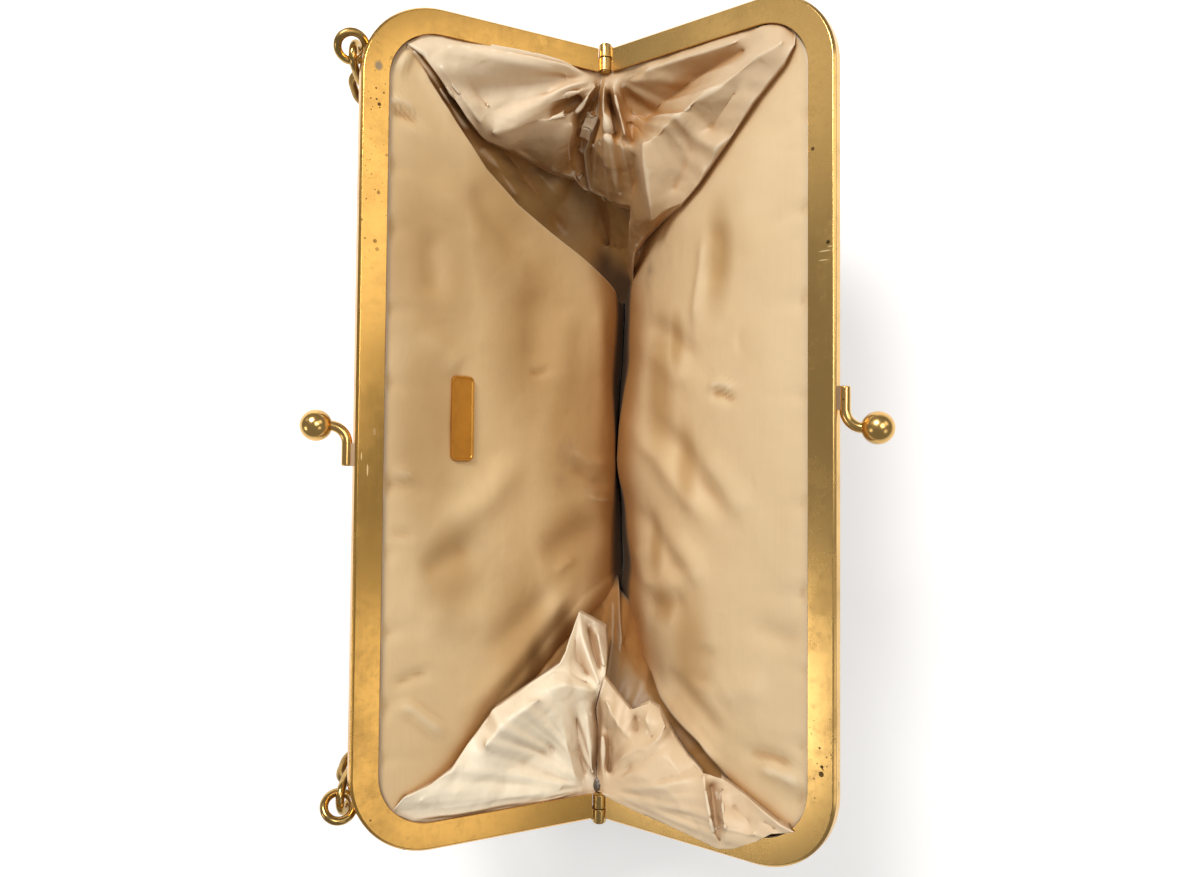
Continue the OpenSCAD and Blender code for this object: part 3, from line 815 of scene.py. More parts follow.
def clasp_matrix(p, side):
    """Takes a clasp's own axes (out along the stem's end, along the foot, up) to its open place."""
    foot = Vector((p.h + PAD_T + p.stem / 2, CLASP_Y, -p.depth / 2))
    drop = p.ball / 2 + BALL_CLEAR - p.depth / 2
    turn = Matrix.Rotation(math.asin(drop / BALL_REACH), 4, "Y")
    flip = Matrix.Diagonal((1, -1 if side == RIGHT else 1, 1, 1))
    return half_matrix(p, side) @ Matrix.Translation(foot) @ turn @ flip


class CLUTCH_OT_clasp(bpy.types.Operator):
    """Builds the two bent stems with their balls"""

    bl_idname = "clutch.clasp"
    bl_label = "Kiss clasp"

    def execute(self, context):
        p = plan()
        polished = brass_material("clasp_brass", 0.15, 0.35)
        for side, name in SIDE_NAME.items():
            place = clasp_matrix(p, side)
            bm = bmesh.new()
            face_y = Matrix.Translation((0, -STEM_BEND - FOOT_L, 0)) @ Matrix.Rotation(math.pi / 2, 4, "X")
            start = ring_of_wire(bm, p.stem / 2, 28, face_y)
            loop = drawn_on(bm, start, (0, FOOT_L, 0))
            loop = turned_on(bm, loop, (STEM_BEND, -STEM_BEND, 0), (0, 0, -1), 90, 20)
            loop = drawn_on(bm, loop, (BALL_REACH - STEM_BEND - STEM_SHORT, 0, 0))
            bmesh.ops.edgeloop_fill(bm, edges=edges_of(start))
            bmesh.ops.edgeloop_fill(bm, edges=edges_of(loop))
            close_up(bm)
            round_edges(bm, 0.45, 3)
            put_in(bm, place)
            fit(make_piece(f"{name}_stem", bm, polished), f"{name}_half", f"{name}_clasp_stem")

            bm = bmesh.new()
            bmesh.ops.create_uvsphere(bm, u_segments=64, v_segments=40, radius=p.ball / 2)
            bmesh.ops.rotate(bm, cent=(0, 0, 0), matrix=Matrix.Rotation(math.pi / 2, 3, "Y"), verts=bm.verts)
            shift(bm, (BALL_REACH, 0, 0))
            put_in(bm, place)
            fit(make_piece(f"{name}_ball", bm, polished, hard=0), f"{name}_half", f"{name}_clasp_ball")
        return {"FINISHED"}


# Chain links in mm: length, width and play of one in the next
LINK_L, LINK_W, LINK_PLAY = 14, 11, 0.3
# Loops in mm: ring radius, wire, distance from the frame's end, drop below the face; and their turn in degrees
LOOP_R, LOOP_WIRE, LOOP_IN, LOOP_LOW, LOOP_TURN = 4.1, 2.4, 15, 0.35, 50
# Shape of the hanging curve: half its span over its flatness
SLACK = 1.36


def oval_link(bm, inner, wire, place):
    """Oval link of round wire along X."""
    part = bmesh.new()
    bend = (LINK_W - wire) / 2
    straight = inner + wire - 2 * bend
    face_x = Matrix.Translation((-straight / 2, bend, 0)) @ Matrix.Rotation(math.pi / 2, 4, "Y")
    loop = ring_of_wire(part, wire / 2, 16, face_x)
    for way in (1, -1):
        loop = drawn_on(part, loop, (way * straight, 0, 0))
        loop = turned_on(part, loop, (way * straight / 2, 0, 0), (0, 0, -1), 180, 18)
    close_up(part, 0.01)
    bmesh.ops.transform(part, matrix=place, verts=part.verts)
    join_into(bm, part)


class CLUTCH_OT_chain(bpy.types.Operator):
    """Builds the two soldered loops and the chain that hangs from them"""

    bl_idname = "clutch.chain"
    bl_label = "Chain handle"

    def execute(self, context):
        p = plan()
        metal = brass_material("chain_brass", 0.16, 0.8, aged=0.6)
        y = p.l / 2 - LOOP_IN
        wall = p.cx + math.sqrt(p.corner ** 2 - (y - p.cy) ** 2)
        out, low = wall + LOOP_R - LOOP_WIRE / 4, LOOP_R + LOOP_WIRE / 2 + LOOP_LOW
        for end, name in END_NAME.items():
            bm = bmesh.new()
            full_spin(bm, ring_of_wire(bm, LOOP_WIRE / 2, 20, Matrix.Translation((LOOP_R, 0, 0))), 44)
            close_up(bm)
            turn = Matrix.Rotation(-end * math.radians(LOOP_TURN), 3, "X")
            bmesh.ops.rotate(bm, cent=(0, 0, 0), matrix=turn, verts=bm.verts)
            shift(bm, (out, end * y, -low))
            put_in(bm, half_matrix(p, LEFT))
            fit(make_piece(f"{name}_loop", bm, metal, hard=0), "left_half", f"{name}_chain_loop")
        hang = on_half(p, LEFT, out, 0, low)
        seat = LOOP_R - LOOP_WIRE / 2 - LINK_PLAY
        flat = y / SLACK
        half_len = flat * math.sinh(SLACK)
        count = 2 * round(half_len / (LINK_L - 2 * p.wire) - 0.5) + 1
        pitch = 2 * half_len / count
        bm = bmesh.new()
        for k in range(count):
            run = (k + 0.5) * pitch - half_len
            at = Vector((hang.x, flat * math.asinh(run / flat),
                         hang.z - seat - flat * math.cosh(SLACK) + math.hypot(flat, run)))
            place = (Matrix.Translation(at) @ Matrix.Rotation(math.atan(run / flat), 4, "X")
                     @ Matrix.Rotation(math.pi / 2, 4, "Z") @ Matrix.Rotation(math.pi / 2 * ((k + 1) % 2), 4, "X"))
            oval_link(bm, pitch + LINK_PLAY, p.wire, place)
        bmesh.ops.recalc_face_normals(bm, faces=bm.faces)
        fit(make_piece("hanging_chain", bm, metal, hard=0), "chain", "chain_links")
        return {"FINISHED"}


# Cloth -------------------------------------------------------------------------------------------


def lerp_table(table, t):
    """Value at t in a table of (place, value) rows, joined by straight lines."""
    if t <= table[0][0]:
        return table[0][1]
    for (t0, a), (t1, b) in zip(table, table[1:]):
        if t <= t1:
            return a + (b - a) * (t - t0) / (t1 - t0)
    return table[-1][1]


def smooth_step(t):
    """Runs from 0 to 1 as t does, with a soft start and end."""
    t = min(1, max(0, t))
    return t * t * (3 - 2 * t)


# Ends of the lining panels: share of the way down the panel, and place along the hinge axis in mm
PANEL_ENDS = {
    (LEFT, REAR): [(0, 113.5), (0.03, 111.4), (0.074, 107.1), (0.145, 97.5), (0.224, 88.6), (0.296, 80.8),
                   (0.417, 72.4), (0.55, 67.2), (0.684, 62.4), (0.852, 55.6), (0.937, 51.3), (1, 49)],
    (LEFT, FRONT): [(0, -111), (0.032, -109.5), (0.133, -107.0), (0.208, -103.1), (0.259, -97.4), (0.367, -86.5),
                    (0.522, -73.5), (0.651, -64.1), (0.728, -58.6), (0.9, -53.2), (1, -51)],
    (RIGHT, REAR): [(0, 112), (0.067, 109), (0.162, 102), (0.254, 93), (0.379, 83), (0.47, 78.5), (0.572, 77),
                    (0.698, 74.5), (0.814, 70), (1, 64)],
    (RIGHT, FRONT): [(0, -114.2), (0.038, -113.6), (0.107, -110.8), (0.187, -107.7), (0.269, -103.2), (0.354, -97.3),
                     (0.499, -90.8), (0.707, -81.9), (0.846, -76.2), (1, -70)],
}
# Ends that are folded back in a tight roll; the others sink under the gusset
ROLLED = {(LEFT, REAR), (RIGHT, FRONT)}
# Radius of the roll, how far the cloth reaches into the channel, and how far below the face it goes in, in mm
ROLL_R, TUCK, TUCK_LOW = 1.5, 0.4, 1.5
# Edges of the dark gap at the bottom crease, as seen, in pixels
CREASE = {
    LEFT: [(612, 240), (613, 262), (617, 310), (610, 382), (613, 410), (615, 435), (615, 480), (614, 515), (611, 560),
           (609, 595), (606, 625), (604, 660)],
    RIGHT: [(634, 262), (632, 280), (630, 300), (630, 367), (620, 422), (616.5, 467), (625, 502), (627, 535),
            (633, 565), (628, 592), (632, 620), (634, 650)],
}
# Height of those edges, of the bottom of the crease and of the lowest cloth, in mm
CREASE_Z, CREASE_FOOT, LINING_LOW = 12, 2.85, 2.4
# Shares of the way down a panel at which it starts to follow those edges, and at which it reaches them
CREASE_FROM, CREASE_V = 0.45, 0.9


def crease_table(side):
    """Table of an edge of the crease: place along the hinge axis and place across it, in mm."""
    at = [seen(u, v, CREASE_Z) for u, v in reversed(CREASE[side])]
    return [(q.y, q.x) for q in at]


CREASE_X = {side: crease_table(side) for side in SIDE_NAME}


def crease_x(side, y):
    """Place of an edge of the crease across the hinge axis, softened along it."""
    return sum(lerp_table(CREASE_X[side], y + d) for d in (-4, -2, 0, 2, 4)) / 5


def rim_out(p, y, r):
    """How far out from the hinge axis a rail lies at y, when its corners have the radius r."""
    d = max(0, abs(y) - p.cy)
    return p.cx + math.sqrt(max(0, r * r - d * d))


def downhill(p, side):
    """Direction out from the hinge axis and down, as steep as an open half rises."""
    return Vector((side * math.cos(p.a), 0, -math.sin(p.a)))


def puffed(p, side, y, v):
    """Smooth puffed shape of a lining panel."""
    rim = on_half(p, side, rim_out(p, y, p.inner_r + TUCK), y, TUCK_LOW)
    foot = Vector((side * 0.35, y, CREASE_FOOT))
    return rim.lerp(foot, v) - downhill(p, side) * (p.crown * math.sin(math.pi * v ** 0.85))


def panel_point(p, side, y, v):
    """Top side of a lining panel: v runs from the rim down to the bottom crease, where it turns down steeply."""
    lip = puffed(p, side, y, CREASE_V)
    edge = crease_x(side, y)
    at = puffed(p, side, y, min(v, CREASE_V))
    at.x += (edge - lip.x) * smooth_step((v - CREASE_FROM) / (CREASE_V - CREASE_FROM))
    if v > CREASE_V:
        t = (v - CREASE_V) / (1 - CREASE_V)
        middle = (crease_x(LEFT, y) + crease_x(RIGHT, y)) / 2 + side * 0.02
        at.x = edge + (middle - edge) * t * t
        at.z = lip.z + (CREASE_FOOT - lip.z) * (0.65 * t + 0.35 * t * t)
    return at


def line_distance(q, line):
    """Distance of a point on the photo from a line of points, and the share of the way along it."""
    best, share = 1e9, 0
    for i, (a, b) in enumerate(zip(line, line[1:])):
        a, b = Vector(a), Vector(b)
        d = b - a
        t = min(1, max(0, (q - a).dot(d) / d.length_squared))
        gap = (q - a - d * t).length
        if gap < best:
            best, share = gap, (i + t) / (len(line) - 1)
    return best, share


# Soft folds of the panels as seen: line in pixels, height in mm (down if negative) and width in pixels
PANEL_FOLDS = {
    LEFT: [
        ([(397, 74), (403, 61), (411, 51)], 1.3, 4), ([(392, 108), (405, 113), (421, 124)], -1.3, 5),
        ([(391, 100), (404, 104), (419, 112)], 0.9, 4), ([(418, 64), (428, 80), (442, 104), (458, 128)], 1.0, 5),
        ([(432, 168), (462, 214), (500, 262), (545, 300)], 1.6, 17), ([(470, 178), (492, 214), (530, 250)], -1.3, 12),
        ([(432, 225), (434, 262), (436, 305)], -1.5, 13), ([(420, 330), (445, 360), (460, 372)], 1.2, 14),
        ([(534, 285), (538, 330), (534, 374)], -1.5, 13), ([(568, 300), (562, 350), (556, 400)], 1.3, 13),
        ([(598, 292), (601, 350), (603, 432)], 1.0, 8), ([(530, 372), (540, 374), (550, 368)], -0.8, 4),
        ([(524, 452), (486, 500), (440, 532)], 1.9, 16), ([(480, 545), (446, 560), (418, 578)], -1.9, 15),
        ([(606, 520), (572, 540), (540, 562)], -2.2, 16), ([(576, 556), (564, 566), (556, 574)], 0.7, 5),
        ([(574, 580), (552, 610), (516, 656), (478, 706)], 1.5, 10), ([(556, 584), (520, 622), (480, 660)], -1.0, 12),
        ([(612, 466), (588, 462), (566, 446)], 0.9, 7), ([(612, 486), (590, 480), (570, 466)], -0.9, 6),
        ([(612, 500), (598, 500), (588, 495)], 0.6, 3), ([(393, 710), (410, 708), (430, 724), (450, 738)], 1.2, 6),
        ([(392, 686), (410, 678), (432, 671)], -0.9, 5), ([(390, 535), (402, 534), (414, 536)], -0.7, 4),
        ([(392, 478), (404, 474), (416, 478)], 0.7, 5), ([(420, 610), (460, 622), (500, 612)], 1.0, 18),
    ],
    RIGHT: [
        ([(706, 228), (703, 265), (698, 300), (694, 338)], 1.4, 5), ([(716, 218), (718, 250), (714, 292)], -1.3, 11),
        ([(645, 318), (672, 336), (700, 362)], -1.5, 10), ([(640, 344), (668, 366), (690, 388)], 1.0, 11),
        ([(708, 386), (722, 384), (738, 392)], 1.1, 4), ([(710, 393), (722, 394), (740, 402)], -1.1, 6),
        ([(740, 328), (740, 342), (741, 354)], -0.5, 3), ([(650, 415), (680, 450), (702, 484), (730, 522)], -2.4, 11),
        ([(630, 428), (658, 458), (682, 492), (708, 526)], 1.7, 10), ([(700, 452), (724, 486), (752, 520)], 1.3, 14),
        ([(634, 500), (650, 530), (668, 562), (688, 580)], -2.2, 9), ([(636, 540), (643, 570), (652, 592)], 1.4, 8),
        ([(640, 600), (664, 606), (690, 598)], -2.0, 13), ([(672, 530), (692, 560), (704, 590)], 1.4, 10),
        ([(706, 640), (704, 668), (698, 690)], -1.3, 11), ([(644, 666), (666, 702), (692, 738), (722, 772)], 2.6, 6),
        ([(662, 664), (690, 702), (726, 744)], -1.7, 9), ([(806, 786), (782, 774), (756, 766)], 1.4, 7),
        ([(796, 768), (768, 757), (740, 752)], -1.2, 8), ([(805, 640), (775, 636), (745, 622)], -0.9, 12),
        ([(770, 690), (740, 690), (716, 700)], 1.0, 14), ([(776, 120), (748, 190), (738, 262)], 1.0, 18),
    ],
}
# Small tucks where the cloth goes into the channel: place along the hinge axis in mm
RIM_TUCKS = {LEFT: [92, 76, 57, 33, 12, -18, -38, -61, -82, -97], RIGHT: [88, 61, 35, 8, -22, -47, -69, -90, -104]}


def panel_bumps(side, y, v, pixel):
    """How far the cloth of a panel stands off its smooth shape, in mm."""
    rise = 0
    for line, height, width in PANEL_FOLDS[side]:
        gap, share = line_distance(pixel, line)
        if gap < 3 * width:
            fade = smooth_step(share * 3.5) * smooth_step((1 - share) * 3.5) * 0.85 + 0.15
            rise += height * fade * math.exp(-(gap / width) ** 2)
    for i, at in enumerate(RIM_TUCKS[side]):
        across = (y - at + (22 - 9 * (i % 4)) * v) / (1.7 + 0.5 * (i % 3))
        deep, short = 0.7 + 0.35 * (i % 3), 0.04 + 0.02 * (i % 2)
        rise -= deep * math.exp(-across ** 2) * math.exp(-v / short) * smooth_step(v / 0.02)
    at = Vector((y * 0.022, v * 2.0, side * 3.1))
    rise += 1.1 * noise.noise(at) * smooth_step(v / 0.12)
    rise += 0.45 * noise.noise(at * 3.1 + Vector((5, 1, 2))) * smooth_step(v / 0.1)
    fine = Vector((y * 0.14, v * 8.0, side * 7.7))
    rise += 0.12 * (0.5 - abs(noise.noise(fine))) * smooth_step(v / 0.05)
    return rise * smooth_step((1 - v) / 0.1)


# Grid of a panel: columns, rows and extra columns at each end, which are rolled or sunk
PANEL_COLUMNS, PANEL_ROWS, END_COLUMNS = 150, 84, 12
# Rolled ends: share of the end at which it drops, and how far; sunken ends: how far they run on and sink, in mm
DROP_FROM, DROP, RUN_ON, SINK = 0.66, 26, 12, 9
UP = Vector((0, 0, 1))


def panel_sheet(p, side):
    """Lining panel as a bmesh grid, with its rolled or sunken ends."""
    bm = bmesh.new()
    total_columns = PANEL_COLUMNS + 2 * END_COLUMNS
    made = bmesh.ops.create_grid(bm, x_segments=total_columns, y_segments=PANEL_ROWS, size=0.5)["verts"]
    normal = Vector((-side * math.sin(p.a), 0, math.cos(p.a)))
    off = normal.lerp(-downhill(p, side), 0.4).normalized()
    for vert in made:
        i = (vert.co.x + 0.5) * total_columns - END_COLUMNS
        v = 0.5 - vert.co.y
        t = min(1, max(0, i / PANEL_COLUMNS))
        low, high = lerp_table(PANEL_ENDS[side, FRONT], v), lerp_table(PANEL_ENDS[side, REAR], v)
        y = low + (high - low) * t
        at = panel_point(p, side, y, v)
        at += off * panel_bumps(side, y, v, on_photo(at))
        past = max(0, -i, i - PANEL_COLUMNS) / END_COLUMNS
        if past > 0:
            end = FRONT if i < 0 else REAR
            away = Vector((-side * 0.35, end, -0.1)).normalized()
            if (side, end) in ROLLED:
                turn = min(past * 1.5, 1) * math.pi
                drop = max(0, past - DROP_FROM) * DROP
                at += away * ROLL_R * math.sin(turn) - normal * (ROLL_R * (1 - math.cos(turn)) + drop)
            else:
                at += away * RUN_ON * past - normal * SINK * past * past
        at.z = max(at.z, LINING_LOW)
        vert.co = at
    bmesh.ops.recalc_face_normals(bm, faces=bm.faces)
    face_to(bm, UP)
    return bm


# Height of the middle of a panel in mm, and mm to a pixel there
PANEL_Z, PIXEL_MM = 60, 0.3


def on_panel(p, side, u, v):
    """Point of a panel, in mm, that is seen at a pixel."""
    y = seen(u, v, PANEL_Z).y
    for _ in range(4):
        best = min((panel_point(p, side, y, k / 200) for k in range(201)), key=lambda q: abs(on_photo(q).x - u))
        y += (on_photo(best).y - v) * PIXEL_MM
    return best


def on_panels(p, side, rows):
    """Spots for a material: rows of pixel, turn in degrees and size in mm."""
    return [(tuple(on_panel(p, side, u, v)), turn, size) for u, v, turn, size in rows]


# Wrinkles of the gussets and of the deep folds: scale, sharpness and depth in metres
GUSSET_CRUMPLE, DEEP_CRUMPLE = (85.0, 0.16, 0.0011), (70.0, 0.15, 0.0010)


def gusset_satin(kind, side):
    """Satin of the slightly pinker gussets, each side lighter or darker as painted light and shade and darker lower
    down as painted shade, or of the cloth deep in the folds, darker still as painted shade.
    """
    name = f"{SIDE_NAME[side]}_{kind}_satin"
    tone = Vector(bpy.context.scene.clutch_colours.satin_end)
    if kind == "rear":
        # Painted light and shade: the rear left gusset is lighter and the rear right darker; lower down the cloth
        # darkens.
        tone = tone.lerp(Vector((0.94, 0.80, 0.60)), 0.5) if side == LEFT else tone * 0.88
        stains = [((-40, 107, 74), 0, (7, 6, 9)), ((30, 100, 70), 0, (6, 6, 9))]
        return satin_material(name, tone, (0.64, 0.44, 0.25), stains, crumple=GUSSET_CRUMPLE,
                              low_shade=(48, 68, (0.38, 0.225, 0.10)))
    if kind == "front":
        # Painted light and shade: the front left gusset is paler than the right; lower down the cloth darkens.
        tone = tone.lerp(Vector((1.0, 0.89, 0.69)), 0.9 if side == LEFT else 0.1)
        stains = [((-36, -114, 76), 0, (12, 4, 9)), ((36, -110, 78), 20, (9, 6, 9))]
        return satin_material(name, tone, tone * 0.88, stains, crumple=GUSSET_CRUMPLE,
                              low_shade=(44, 60, (0.60, 0.46, 0.325)), hollow_shade=(0.42, 0.25, 0.125))
    # Painted shade: the cloth deep in the rear fold is darker, and darker still lower down.
    if kind == "rear_deep":
        return satin_material(name, (0.70, 0.51, 0.30), (0.58, 0.39, 0.2), crumple=DEEP_CRUMPLE,
                              low_shade=(62, 86, (0.45, 0.28, 0.11)))
    # Painted shade: the cloth deep in the front folds is dark brown, near black lower down, with a spot of painted
    # shadow.
    return satin_material(name, (0.32, 0.22, 0.12), (0.26, 0.17, 0.085), crumple=DEEP_CRUMPLE,
                          low_shade=(25, 37, (0.05, 0.028, 0.013)), crease=0.3, shadow_spots=[((33.5, -106.5, 63), 0, (9, 9, 14))])


# Stains of the panels as seen: pixel, turn in degrees and size in mm
PANEL_STAINS = {
    LEFT: [(570, 455, 0, (7, 9, 14)), (594, 490, 0, (6, 8, 12)), (560, 480, 0, (4, 5, 9))],
    RIGHT: [(650, 275, 0, (4, 10, 10))],
}
# Spots of painted shade on the panels as seen: pixel, turn in degrees and size in mm
PANEL_SHADE_SPOTS = {
    LEFT: [(428, 255, 0, (26, 60, 36)), (500, 226, 30, (20, 46, 34)), (534, 330, 0, (26, 56, 40)),
           (570, 430, 0, (18, 46, 34)), (572, 540, -35, (17, 28, 30)), (450, 566, 60, (12, 26, 24)),
           (426, 420, 0, (16, 56, 28)), (520, 640, -40, (12, 36, 28))],
    RIGHT: [(660, 390, 0, (8, 34, 20)), (686, 466, 38, (5, 20, 18)), (655, 545, 30, (4, 16, 18)),
            (662, 604, 0, (9, 9, 16)), (718, 255, 0, (6, 24, 18)), (690, 650, 0, (9, 26, 24)),
            (676, 342, 60, (4, 14, 14))],
}
# Spots of painted shadow on the panels as seen: pixel, turn in degrees and size in mm
PANEL_SHADOW_SPOTS = {LEFT: [(562, 638, -38, (5, 16, 14)), (536, 668, -38, (4, 14, 14))], RIGHT: []}


def panel_satin(p, side):
    """Satin of a lining panel, with painted shade spots and painted shadow spots; the left one is a little warmer and
    darker as painted shade.
    """
    tone, age = Vector(bpy.context.scene.clutch_colours.satin), (0.70, 0.49, 0.25)
    # Painted shade: the left panel gets a warmer, darker tone.
    if side == LEFT:
        tone, age = tone.lerp(Vector((0.84, 0.60, 0.315)), 0.7), (0.70, 0.475, 0.225)
    stains, shade_spots, shadow_spots = (on_panels(p, side, rows[side]) for rows in (PANEL_STAINS, PANEL_SHADE_SPOTS, PANEL_SHADOW_SPOTS))
    return satin_material(f"{SIDE_NAME[side]}_panel_satin", tone, age, stains, shade_spots, shadow_spots=shadow_spots)


def thicken(piece, thickness, offset):
    """Gives a sheet its thickness: inwards at an offset of -1, outwards at 1."""
    wall = piece.modifiers.new("cloth", "SOLIDIFY")
    wall.thickness = thickness
    wall.offset = offset
    wall.use_even_offset = False


class CLUTCH_OT_lining_panels(bpy.types.Operator):
    """Builds the two long satin panels of the lining"""

    bl_idname = "clutch.lining_panels"
    bl_label = "Lining panels"

    def execute(self, context):
        p = plan()
        walls = body_walls(p)
        for side, name in SIDE_NAME.items():
            sheet = panel_sheet(p, side)
            keep_inside(p, sheet, walls)
            piece = make_piece(f"{name}_lining", sheet, panel_satin(p, side), hard=0)
            thicken(piece, context.scene.clutch_sizes.cloth, -1)
            blend_cloth(piece)
            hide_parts(f"lining_{name}_panel")
        return {"FINISHED"}


def leg_rim(p, side, end, out):
    """Point where the cloth enters the channel of a leg; past the leg it follows the corner."""
    r = p.inner_r + TUCK
    turn = math.acos(min(1, max(0, out - p.cx) / r))
    return on_half(p, side, out, end * (p.cy + r * math.sin(turn)), TUCK_LOW)


# Place of the gathers under a hinge along the hinge axis, in mm
GATHER_Y = 116


def crinkle(at):
    """Small wrinkles of the gussets in mm: a fan of gathers from the hinge, and soft and fine creases."""
    end = REAR if at.y > 0 else FRONT
    x, y = at.x, end * GATHER_Y - at.y
    r, turn = math.hypot(x, y), math.atan2(x, abs(y))
    fan = 4.2 * noise.noise(Vector((turn * 5.2, r * 0.022, end * 3.3)))
    fan *= math.exp(-(r / 40) ** 2) * smooth_step((r - 5) / 9) * (1 if end == REAR else 0.4)
    fan += 0.9 * noise.noise(Vector((turn * 11, r * 0.012, end * 7.1))) * smooth_step((r - 12) / 15)
    soft = 0.8 * noise.noise(at * 0.065)
    fine = 0.3 * (0.4 - abs(noise.noise(at * 0.13))) + 0.05 * noise.noise(at * 0.37)
    return fan + soft + fine


def soften(bm, verts, factor=0.5):
    """Moves vertices towards the middle of their neighbours."""
    bmesh.ops.smooth_vert(bm, verts=verts, factor=factor, use_axis_x=True, use_axis_y=True, use_axis_z=True)


# Softening of folded cloth: at each cut, its rounds and how firmly the fold lines hold
RELAX = [(4, 1), (5, 1), (5, 0.9), (4, 0.7)]
# Steps in mm by which a free edge is turned down, and the distance in pixels at which an edge belongs to it
SKIRT_DROPS, SKIRT_NEAR = (0.7, 1.2, 3.0), 0.6


def facets(outline, ridges):
    """Facets between an outline and fold lines of points in mm, joined as the camera sees them.
    Gives the bmesh and the pairs of vertices along the fold lines."""
    points, index = [], {}

    def number(q):
        key = tuple(round(c, 3) for c in q)
        if key not in index:
            index[key] = len(points)
            points.append(Vector(q))
        return index[key]

    loop = [number(q) for q in outline]
    lines = [[number(q) for q in line] for line in ridges]
    edges = [pair for line in lines for pair in zip(line, line[1:])]
    flat = [Vector((q.x, -q.y)) for q in map(on_photo, points)]
    around = sum(flat[a].x * flat[b].y - flat[b].x * flat[a].y for a, b in zip(loop, loop[1:] + loop[:1]))
    if around < 0:
        loop.reverse()
    verts, _, faces, origin, _, _ = delaunay_2d_cdt(flat, edges, [loop], 1, 1e-4)
    if any(not o for o in origin):
        bad = [tuple(round(c) for c in (v.x, -v.y)) for v, o in zip(verts, origin) if not o]
        raise RuntimeError(f"fold lines cross at {bad}")
    bm = bmesh.new()
    made = [bm.verts.new(points[o[0]]) for o in origin]
    for f in faces:
        bm.faces.new([made[i] for i in f])
    bm.normal_update()
    face_to(bm, UP)
    where = {o[0]: v for o, v in zip(origin, made)}
    return bm, [(where[a], where[b]) for a, b in edges if a in where and b in where]


def turn_down(bm, rim, skirt):
    """Turns down the free edge of the cloth along the lines of skirt."""
    lines = [[on_photo(q) for q in line] for line in skirt]
    chosen = []
    for e in bm.edges:
        if e.is_boundary:
            q = on_photo((e.verts[0].co + e.verts[1].co) / 2)
            if any(line_distance(q, line)[0] < SKIRT_NEAR for line in lines):
                chosen.append(e)
    for drop in SKIRT_DROPS:
        new = bmesh.ops.extrude_edge_only(bm, edges=chosen)["geom"]
        low = set(verts_of(new))
        bmesh.ops.translate(bm, vec=(0, 0, -drop), verts=list(low))
        chosen = [e for e in edges_of(new) if low.issuperset(e.verts)]
    edge_band = [v for v in rim if not any(e.is_boundary for e in v.link_edges)]
    for _ in range(4):
        soften(bm, edge_band)


def fold_sheet(outline, ridges, skirt=()):
    """Folded cloth: facets that are cut finer and softened, with its free edge turned down along skirt."""
    bm, pairs = facets(outline, ridges)
    kept = bm.edges.layers.int.new("kept")
    for edge in map(bm.edges.get, pairs):
        if edge:
            edge[kept] = 1
    for rounds, hold in RELAX:
        bmesh.ops.subdivide_edges(bm, edges=bm.edges[:], cuts=1, use_grid_fill=True)
        rim = {v for e in bm.edges if e.is_boundary for v in e.verts}
        folds = {v for e in bm.edges if e[kept] for v in e.verts} - rim
        free = [v for v in bm.verts if v not in rim and v not in folds]
        for _ in range(rounds):
            soften(bm, free)
            soften(bm, list(folds), 0.5 * (1 - hold))
    bm.normal_update()
    for v, step in [(v, v.normal * crinkle(v.co)) for v in [*free, *folds]]:
        v.co += step
    if skirt:
        turn_down(bm, rim, skirt)
    bmesh.ops.recalc_face_normals(bm, faces=bm.faces)
    face_to(bm, UP)
    return bm


def seen_line(points):
    """Points in mm that are seen at pixels with a height in mm."""
    return [seen(*q) for q in points]


def seen_lines(*lines):
    """Several lines of seen points."""
    return [seen_line(line) for line in lines]


# Places along a leg, out from the hinge axis in mm: of the rim and of the swell; and how far in and low the swell is
LEG_OUTS, SWELL_OUTS = (66.5, 60.5, 55, 46, 36, 26, 17, 9, 4), (52, 44, 36, 28, 20, 13)
SWELL_IN, SWELL_LOW = 3.0, 0.5


def rim_line(p, side, end):
    """Line along a leg where the cloth enters the channel."""
    return [leg_rim(p, side, end, out) for out in LEG_OUTS]


def rim_swell(p, side, end, outs=SWELL_OUTS):
    """Line just inside a leg where the cloth swells up before it falls."""
    return [on_half(p, side, out, end * (p.cy + p.inner_r - SWELL_IN), SWELL_LOW) for out in outs]


def rear_left_gusset(p):
    """Gathered cloth at the rear, from the left corner to the hinge."""
    split = seen_line([(603, 73, 61), (601, 84, 60.5), (598, 98.5, 57.5), (597, 121, 55), (588, 142, 50),
                       (584, 152, 46), (586, 172, 40), (589, 191, 35)])
    edge = seen_line([(583, 188, 36), (573, 176, 40), (548, 169, 46), (513, 150, 58), (483, 137, 70),
                      (468.5, 121, 79), (451, 93, 87), (433, 69, 92), (422, 55, 94.8)])
    lines = seen_lines(
        [(494, 132, 73), (521, 127, 70.5), (545, 120, 68), (567, 112.5, 65)],
        [(497, 108, 74.5), (514, 100, 72.6), (532, 97, 71), (545, 94, 69.3)],
        [(551, 104, 69), (567, 97, 69), (582, 92, 66.5)],
        [(555, 110.5, 63), (569, 105, 61), (579, 100, 59.5)],
        [(596, 86, 62.5), (587, 99, 63.5), (576, 113, 62.5)],
        [(596.5, 93, 56), (590, 107, 53), (580.5, 122, 50.5)],
        [(571, 124, 61.5), (571.5, 143, 55.5), (572, 164, 46.5)],
        [(577, 132, 50), (577.5, 152, 45), (579.5, 176, 38.5)],
        [(594, 112, 59.5), (586.5, 130, 57), (582.5, 142, 52.5)],
        [(468, 80, 83.5), (478, 92, 79.5), (489, 106, 76)],
        [(440, 66, 91.8), (462, 97, 85), (480, 121, 78)])
    lines.append(rim_swell(p, LEFT, REAR))
    return fold_sheet(rim_line(p, LEFT, REAR) + split + edge, lines, skirt=[edge, split[-2:]])


